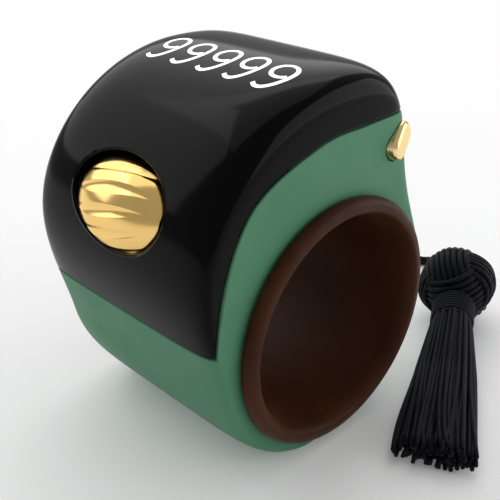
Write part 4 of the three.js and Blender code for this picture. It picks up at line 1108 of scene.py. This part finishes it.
def make_green():
    """Soft-touch plastic: a very fine grain, a slow drift of sheen and a hardly seen drift of colour."""
    material = new_finish("green_matte_finish", (0.072, 0.235, 0.127), 0.55)
    shader = shader_of(material)
    shader.inputs["Specular IOR Level"].default_value = 0.35
    grain = add_noise(material, scale=4200, detail=3)
    drift = add_noise(material, scale=120, detail=3)
    vary_color(material, drift, (0.069, 0.227, 0.121), (0.075, 0.243, 0.133))
    vary_roughness(material, add_noise(material, scale=300, detail=2), 0.5, 0.62)
    add_bump(material, grain, distance=0.000012, strength=0.5)
    return material


bored_frame = bored(frame_mesh, frame_drills())
bored_frame.shade_smooth()
bored_frame.set_sharp_from_angle(angle=math.radians(35))
green_matte = make_green()
hand_over("green_frame", bored_frame, green_matte, "case", "green_matte", "ring_frame")

# %% [markdown]
# Two gold pins on the rear take the charger, and a gold grommet lines the hole that the cord comes out
# of. All three are turned parts, so each is the line of its section spun once round its own axis. A
# lathe leaves fine rings, and the sections have small round edges that catch the light.
# %% Pins and grommet
def turned(start, way, outline, steps=64):
    """Spins an outline of (radius, distance) pairs round the line from start along way."""
    side = way.orthogonal().normalized()
    section = [start + way * along * MM + side * radius * MM for radius, along in outline]
    return spun(section, start, way, steps)


def rounded(corner, before, after, radius, steps=4):
    """Points that round one corner of an outline."""
    corner, before, after = Vector(corner), Vector(before), Vector(after)
    first = corner + (before - corner).normalized() * radius
    last = corner + (after - corner).normalized() * radius
    return [tuple(point) for point in geometry.interpolate_bezier(first, corner, corner, last, steps + 1)]


def make_pin(spot):
    top = PIN_PROUD
    low = PIN_PROUD - PIN_LENGTH
    edge = rounded((PIN_RADIUS, top), (PIN_RADIUS, low), (0, top), PIN_ROUNDING)
    return turned(spot, PIN_OUT, [(0, low), (PIN_RADIUS, low), *edge, (0, top)])


def make_grommet():
    low, seat, top = EYELET_INNER_END, EYELET_SEAT, EYELET_SEAT + EYELET_FLANGE
    hole, tube, rim = EYELET_HOLE_RADIUS, EYELET_TUBE_RADIUS, EYELET_FLANGE_RADIUS
    outline = [(hole, low), (tube, low), (tube, seat), (rim, seat)]
    outline += rounded((rim, top), (rim, seat), (hole, top), FLANGE_ROUNDING, 6)
    outline += rounded((hole, top), (rim, top), (hole, low), HOLE_ROUNDING, 6)
    outline.append((hole, low))
    return turned(place(0, 0, 0), EYELET_OUT, outline)


small_gold = make_gold("small_gold_finish", (1.0, 0.7, 0.3), 0.24, 0.000004)
for number, spot in enumerate(PIN_PLACES):
    hand_over_bmesh(f"gold_pin_{number + 1}", make_pin(spot), 40, small_gold, "case", "gold",
                    f"charge_contact_{number + 1}")
hand_over_bmesh("gold_grommet", make_grommet(), 40, small_gold, "case", "gold", "cord_eyelet")

# %% [markdown]
# The tassel's head is a woven ball knot: three bands of thin cord, each wound round the ball in its own
# direction, and each passing over one neighbour and under the other. A lofted blob would look moulded,
# so every strand is a closed tube of its own, swelling out where its band lies on top. The same knot,
# small and flattened, stops the cord inside the frame.
# %% Ball knots
STRAND_SIDES = 8
STRAND_STEPS = 72
CROSSINGS = 2
STRAND_SPACING = 2.02
STRAND_WOBBLE = 0.25
CORE_INSET = 0.4


def add_to(bm, other):
    """Adds a finished bmesh to another one."""
    scrap = bpy.data.meshes.new("scrap")
    other.to_mesh(scrap)
    other.free()
    bm.from_mesh(scrap)
    bpy.data.meshes.remove(scrap)


def band_loop(centre, axis, zero, shift, radius, rise, wobble):
    """One closed strand round an axis, shifted along it. It rises over one crossing and dips at the next."""
    beside = axis.cross(zero)
    level = math.sqrt(radius * radius - shift * shift) / radius
    line = []
    for step in range(STRAND_STEPS + 1):
        angle = 2 * math.pi * step / STRAND_STEPS
        out = zero * math.cos(angle) + beside * math.sin(angle)
        reach = (radius + rise * math.cos(CROSSINGS * angle)) * level
        reach += wobble * math.sin(3 * angle + 40 * shift)
        line.append(centre + (axis * shift + out * reach) * MM)
    return line


def ball_knot(centre, axes, radius, strand, per_band, rise, seed):
    random = np.random.default_rng(seed)
    bm = bmesh.new()
    bm.loops.layers.uv.new("UVMap")
    for number in range(3):
        axis, zero = axes[number], axes[(number + 1) % 3]
        for place_in_band in range(per_band):
            shift = (place_in_band - (per_band - 1) / 2) * strand * STRAND_SPACING
            wobble = float(random.uniform(-1, 1)) * strand * STRAND_WOBBLE
            line = band_loop(centre, axis, zero, shift, radius, rise, wobble)
            add_to(bm, rolled_tube(line, STRAND_SIDES, lambda share, turn: strand * MM))
    core = bmesh.new()
    core_radius = radius - rise - strand * CORE_INSET
    bmesh.ops.create_icosphere(core, subdivisions=3, radius=core_radius * MM,
                               matrix=Matrix.Translation(centre))
    add_to(bm, core)
    return bm


HEAD_RADIUS = 4.5
HEAD_CENTRE = place(25.4, -8, HEAD_RADIUS - HOLE_HEIGHT)
HEAD_LEAN = math.radians(24)
TASSEL_HEADING = math.radians(210)
TASSEL_WAY = Vector((math.cos(TASSEL_HEADING), math.sin(TASSEL_HEADING), 0))
TASSEL_ACROSS = Vector((-TASSEL_WAY.y, TASSEL_WAY.x, 0))
UP = Vector((0, 0, 1))


def make_tassel_head():
    lean = Matrix.Rotation(HEAD_LEAN, 3, TASSEL_WAY)
    axes = [TASSEL_WAY, lean @ TASSEL_ACROSS, lean @ UP]
    return ball_knot(HEAD_CENTRE, axes, radius=3.75, strand=0.3, per_band=8, rise=0.3, seed=7)


hand_over_bmesh("tassel_ball_knot", make_tassel_head(), None, thread_finish, "case", "black_thread",
                "tassel_head")


STOPPER_MIDDLE = 11.46
STOPPER_FLATNESS = 0.58
STOPPER_CORD = (11.6, 14)
STOPPER_TWIST = 6


def straight_cord_radius(share, turn):
    ply = math.cos(CORD_PLIES * turn + STOPPER_TWIST * share)
    return CORD_RADIUS * MM * (1 - PLY_DEPTH + PLY_DEPTH * ply)


def make_stopper():
    """The flattened knot behind the grommet, with the straight end of the cord."""
    centre = along_eyelet(STOPPER_MIDDLE)
    axes = [EYELET_OUT, Vector((0, 1, 0)), EYELET_OUT.cross(Vector((0, 1, 0)))]
    bm = ball_knot(centre, axes, radius=0.92, strand=0.2, per_band=3, rise=0.06, seed=3)
    squeeze = Matrix.Scale(STOPPER_FLATNESS, 4, EYELET_OUT)
    bmesh.ops.transform(bm, matrix=squeeze, space=Matrix.Translation(-centre), verts=bm.verts[:])
    line = [along_eyelet(distance) for distance in np.linspace(*STOPPER_CORD, 32)]
    add_to(bm, rolled_tube(line, 24, straight_cord_radius))
    return bm


hand_over_bmesh("cord_stopper_knot", make_stopper(), None, thread_finish, "case", "black_thread",
                "cord_knot")

# %% [markdown]
# Below the ball a thread is wound tight round the bundle, and then the strands of the skirt fan out and
# lie on the surface. The skirt is a bundle of about a hundred and fifty thin closed tubes whose starts
# fill a disc evenly, as seeds fill a sunflower, and which sink, spread and curl a little on their way.
# %% Neck and skirt
NECK_RADIUS = 2.3
NECK_FROM = HEAD_RADIUS - 0.3
NECK_LENGTH = 3
NECK_HEIGHT = NECK_RADIUS - HOLE_HEIGHT + 1.1
NECK_LEAN = 0.5
WINDING = 0.19
WINDING_PITCH = 2.05 * WINDING
WINDING_STEPS = 40
SKIRT_FROM = NECK_FROM + NECK_LENGTH + 0.3
SKIRT_STRANDS = 150
SKIRT_STRAND = 0.21
SKIRT_STEPS = 22
SKIRT_LENGTH = 19
SKIRT_ROOT = 1.2
SEED_ANGLE = math.radians(137.508)
LOWEST_STRAND = SKIRT_STRAND - HOLE_HEIGHT + 0.02
SKIRT_ROWS = [
    (-SKIRT_ROOT, 1.9, 1.9, NECK_HEIGHT + 0.2),
    (0.0, 2.1, 2.1, NECK_HEIGHT),
    (6.65, 2.95, 1.72, 1.84 - HOLE_HEIGHT),
    (19.0, 3.7, 1.15, 1.3 - HOLE_HEIGHT),
]


def tassel_place(ahead, aside, height):
    flat = HEAD_CENTRE + (TASSEL_WAY * ahead + TASSEL_ACROSS * aside) * MM
    return Vector((flat.x, flat.y, place(0, 0, height).z))


def neck_height(ahead):
    """The neck leans down a little on its way from the ball to the skirt."""
    return NECK_HEIGHT + NECK_LEAN * (NECK_FROM + NECK_LENGTH - ahead) / NECK_LENGTH


def make_neck():
    bm = bmesh.new()
    bm.loops.layers.uv.new("UVMap")
    start, end = NECK_FROM, NECK_FROM + NECK_LENGTH
    core = [tassel_place(ahead, 0, neck_height(ahead)) for ahead in np.linspace(start, end, 6)]
    add_to(bm, rolled_tube(core, 32, lambda share, turn: (NECK_RADIUS - WINDING) * MM))
    turns = (NECK_LENGTH - 2 * WINDING) / WINDING_PITCH
    line = []
    for share in np.linspace(0, 1, round(turns * WINDING_STEPS)):
        ahead = start + WINDING + (NECK_LENGTH - 2 * WINDING) * share
        angle = 2 * math.pi * turns * share
        line.append(tassel_place(ahead, (NECK_RADIUS - WINDING) * math.cos(angle),
                                 neck_height(ahead) + (NECK_RADIUS - WINDING) * math.sin(angle)))
    add_to(bm, rolled_tube(line, 8, lambda share, turn: WINDING * MM))
    return bm


def strand_line(number, random):
    """One strand. The rows give the bundle's half width, half height and middle on its way."""
    reach = math.sqrt((number + 0.5) / SKIRT_STRANDS)
    angle = number * SEED_ANGLE
    drift = random.uniform(-0.5, 0.5, 4)
    length = SKIRT_LENGTH * float(random.uniform(0.94, 1.0))
    line = []
    for share in np.linspace(0, 1, SKIRT_STEPS):
        ahead = -SKIRT_ROOT + (length + SKIRT_ROOT) * share
        rows = np.array(SKIRT_ROWS)
        width, height, middle = (float(np.interp(ahead, rows[:, 0], rows[:, k])) for k in (1, 2, 3))
        loose = share * share
        turn = angle + 0.5 * loose * drift[0]
        aside = width * reach * math.cos(turn) + loose * drift[1] * math.sin(5 * share + 6 * drift[2])
        up = height * reach * math.sin(turn) + loose * 0.3 * drift[3] * math.sin(7 * share)
        line.append(tassel_place(SKIRT_FROM + ahead, aside, max(LOWEST_STRAND, middle + up)))
    return line


def make_skirt():
    random = np.random.default_rng(11)
    bm = bmesh.new()
    bm.loops.layers.uv.new("UVMap")
    for number in range(SKIRT_STRANDS):
        add_to(bm, rolled_tube(strand_line(number, random), 6, lambda share, turn: SKIRT_STRAND * MM))
    return bm


hand_over_bmesh("tassel_neck_winding", make_neck(), None, thread_finish, "case", "black_thread",
                "tassel_neck")
hand_over_bmesh("tassel_skirt_strands", make_skirt(), None, thread_finish, "case", "black_thread",
                "tassel_skirt")

# %% [markdown]
# What is inside the case keeps its CAD shape and gets its real finish: turned steel, a plated magnet,
# moulded plastic, a lacquered board with its traces, a foil cell, film leads and rubber. Their patterns
# read Object coordinates too, so they stay the right size on every node.
# %% Finishes of the inner parts
def make_steel():
    material = new_finish("turned_steel_finish", (0.55, 0.56, 0.58), 0.28, 1.0)
    rings = add_noise(material, scale=900, detail=3, stretch=(1, 1, 6))
    vary_roughness(material, rings, 0.2, 0.36)
    add_bump(material, rings, distance=0.000004, strength=0.5)
    return material


def make_magnet():
    material = new_finish("plated_magnet_finish", (0.3, 0.3, 0.31), 0.3, 1.0)
    flecks = add_noise(material, scale=2600, detail=4)
    vary_color(material, flecks, (0.24, 0.24, 0.26), (0.4, 0.4, 0.41))
    vary_roughness(material, flecks, 0.25, 0.45)
    return material


def make_moulded(name, color, light, roughness):
    material = new_finish(name, color, roughness)
    grain = add_noise(material, scale=3000, detail=4)
    vary_color(material, add_noise(material, scale=400, detail=3), color, light)
    vary_roughness(material, grain, roughness - 0.08, roughness + 0.08)
    add_bump(material, grain, distance=0.00001, strength=0.5)
    return material


def make_board():
    """Green lacquer over copper: traces show as slightly lighter, raised lines in a grid of blocks."""
    material = new_finish("board_lacquer_finish", (0.01, 0.09, 0.035), 0.3)
    nodes, links = material.node_tree.nodes, material.node_tree.links
    source = nodes.new("ShaderNodeTexCoord")
    traces = nodes.new("ShaderNodeTexBrick")
    traces.inputs["Scale"].default_value = 900
    traces.inputs["Mortar Size"].default_value = 0.06
    traces.inputs["Color1"].default_value = (0.008, 0.075, 0.03, 1)
    traces.inputs["Color2"].default_value = (0.012, 0.095, 0.036, 1)
    traces.inputs["Mortar"].default_value = (0.02, 0.16, 0.06, 1)
    links.new(source.outputs["Object"], traces.inputs["Vector"])
    links.new(traces.outputs["Color"], shader_of(material).inputs["Base Color"])
    add_bump(material, traces.outputs["Fac"], distance=0.00002, strength=0.6)
    shader_of(material).inputs["Coat Weight"].default_value = 0.4
    return material


def make_foil():
    material = new_finish("cell_foil_finish", (0.55, 0.56, 0.58), 0.35, 1.0)
    wrinkles = add_noise(material, scale=500, detail=5)
    vary_roughness(material, wrinkles, 0.28, 0.46)
    add_bump(material, wrinkles, distance=0.00004, strength=0.6)
    return material


def add_bands(material, scale, turn):
    """Even stripes, for the lines of a film lead. turn tilts them, in degrees."""
    nodes, links = material.node_tree.nodes, material.node_tree.links
    source = nodes.new("ShaderNodeTexCoord")
    mapping = nodes.new("ShaderNodeMapping")
    mapping.inputs["Rotation"].default_value = (0, 0, math.radians(turn))
    stripes = nodes.new("ShaderNodeTexWave")
    stripes.inputs["Scale"].default_value = scale
    links.new(source.outputs["Object"], mapping.inputs["Vector"])
    links.new(mapping.outputs["Vector"], stripes.inputs["Vector"])
    return stripes.outputs["Fac"]


def make_film_lead():
    material = new_finish("film_lead_finish", (0.45, 0.18, 0.03), 0.35)
    lines = add_bands(material, scale=700, turn=90)
    vary_color(material, lines, (0.3, 0.1, 0.015), (0.55, 0.25, 0.06), low=0.3, high=0.7)
    add_bump(material, lines, distance=0.00001, strength=0.4)
    return material


def refinish(material, *nodes):
    for node in nodes:
        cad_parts[node].material_slots[0].material = material
    print(material.name, "on", len(nodes), "parts")


case_screws = [f"case_screw_{number}" for number in range(1, 5)]
refinish(make_steel(), "bead_bush_left", "bead_bush_right", "bead_axle", "detent_spring", "button_switch",
         "cradle_screw_1", "cradle_screw_2", *case_screws)
refinish(make_magnet(), "count_magnet")
black_moulded = make_moulded("black_moulded_finish", (0.012, 0.012, 0.013), (0.02, 0.02, 0.022), 0.5)
refinish(black_moulded, "bead_cradle", "display_holder")
chip_black = make_moulded("chip_black_finish", (0.008, 0.008, 0.009), (0.014, 0.014, 0.015), 0.4)
refinish(chip_black, "display_panel", "controller_chip", "hall_sensor")
refinish(make_board(), "main_board")
refinish(make_foil(), "battery")
refinish(make_film_lead(), "sensor_flex", "display_flex", "charge_flex")
soft_rubber = make_moulded("soft_rubber_finish", (0.025, 0.025, 0.027), (0.04, 0.04, 0.042), 0.7)
refinish(soft_rubber, "switch_dome")

# %% [markdown]
# The photograph was lit by broad soft light from behind and from the left, and by a weaker one from the
# right. A glossy black cap shows mostly what it reflects, so the lamps are large panels whose edges
# draw the long soft edges on the cap: two upright ones side by side, a third to the right, and a weaker
# one overhead. The world adds an even, weaker light from everywhere else.
# %% Light
def direction(azimuth, elevation=0.0):
    """Unit vector with azimuth 90 towards +Y and 180 towards the bead."""
    flat = math.cos(math.radians(elevation))
    return Vector((flat * math.cos(math.radians(azimuth)), flat * math.sin(math.radians(azimuth)),
                   math.sin(math.radians(elevation))))


def add_panel(name, azimuth, distance, width, height, bottom, radiance):
    """An upright lamp that faces the counter and looks as bright as a surface of that radiance."""
    data = bpy.data.lights.new(name, "AREA")
    data.shape = "RECTANGLE"
    data.size = width
    data.size_y = height
    data.energy = radiance * math.pi * width * height
    panel = bpy.data.objects.new(name, data)
    panel.location = direction(azimuth) * distance + Vector((0, 0, bottom + height / 2))
    panel.rotation_euler = direction(azimuth).to_track_quat("Z", "Y").to_euler()
    panel.visible_camera = False
    bpy.context.scene.collection.objects.link(panel)
    print(name, "of", round(width, 2), "by", round(height, 2), "m at", azimuth, "degrees")
    return panel


def add_ceiling(name, azimuth, elevation, distance, width, depth, radiance):
    """A lamp overhead that leans towards the counter."""
    panel = add_panel(name, azimuth, distance, width, depth, 0, radiance)
    panel.location = direction(azimuth, elevation) * distance
    panel.rotation_euler = direction(azimuth, elevation).to_track_quat("Z", "Y").to_euler()
    return panel


KEY_RADIANCE = 1.3
FILL_RADIANCE = 1.5
CEILING_RADIANCE = 0.75
WORLD_STRENGTH = 0.38
add_panel("left_panel", azimuth=112, distance=0.4, width=0.39, height=0.52, bottom=0.1,
          radiance=KEY_RADIANCE)
add_panel("back_panel", azimuth=48, distance=0.4, width=0.625, height=0.47, bottom=0.15,
          radiance=KEY_RADIANCE)
add_panel("fill_panel", azimuth=318, distance=0.45, width=0.56, height=0.34, bottom=0,
          radiance=FILL_RADIANCE)
add_ceiling("ceiling_panel", azimuth=55, elevation=70, distance=0.5, width=0.62, depth=0.36,
            radiance=CEILING_RADIANCE)
world = bpy.data.worlds.new("studio")
bpy.context.scene.world = world
world.use_nodes = True
world.node_tree.nodes["Background"].inputs["Color"].default_value = (1, 1, 1, 1)
world.node_tree.nodes["Background"].inputs["Strength"].default_value = WORLD_STRENGTH

# %% [markdown]
# The floor is a plain pale sheet, large enough to fill the picture. Lit white paper renders light grey
# where the lamps are kept down for the object, so the floor is lifted a little towards white, for the
# camera and for reflections alone. It throws no light on the object and keeps its shadow.
# %% Floor
FLOOR_SIZE = 6.0
FLOOR_GLOW = 0.1


def whiten_for_the_eye(material, glow):
    """Adds a little white for camera, glossy and transmission rays, and no light on the object."""
    nodes, links = material.node_tree.nodes, material.node_tree.links
    rays = nodes.new("ShaderNodeLightPath")
    total = rays.outputs["Is Camera Ray"]
    for kind in ("Is Glossy Ray", "Is Transmission Ray"):
        add = nodes.new("ShaderNodeMath")
        add.operation = "ADD"
        links.new(total, add.inputs[0])
        links.new(rays.outputs[kind], add.inputs[1])
        total = add.outputs["Value"]
    scale = nodes.new("ShaderNodeMath")
    scale.operation = "MULTIPLY"
    scale.inputs[1].default_value = glow
    links.new(total, scale.inputs[0])
    shader_of(material).inputs["Emission Color"].default_value = (1, 1, 1, 1)
    links.new(scale.outputs["Value"], shader_of(material).inputs["Emission Strength"])


def make_floor_finish():
    material = new_finish("floor_finish", (0.93, 0.93, 0.93), 0.7)
    drift = add_noise(material, scale=6, detail=2)
    vary_color(material, drift, (0.925, 0.925, 0.925), (0.935, 0.935, 0.935))
    shader_of(material).inputs["Specular IOR Level"].default_value = 0.1
    whiten_for_the_eye(material, FLOOR_GLOW)
    return material


floor_bm = bmesh.new()
bmesh.ops.create_grid(floor_bm, x_segments=8, y_segments=8, size=FLOOR_SIZE / 2)
floor = bpy.data.objects.new("floor", mesh_from(floor_bm, "floor_mesh"))
bpy.context.scene.collection.objects.link(floor)
floor.data.materials.append(make_floor_finish())

bpy.context.scene.view_settings.view_transform = "Standard"
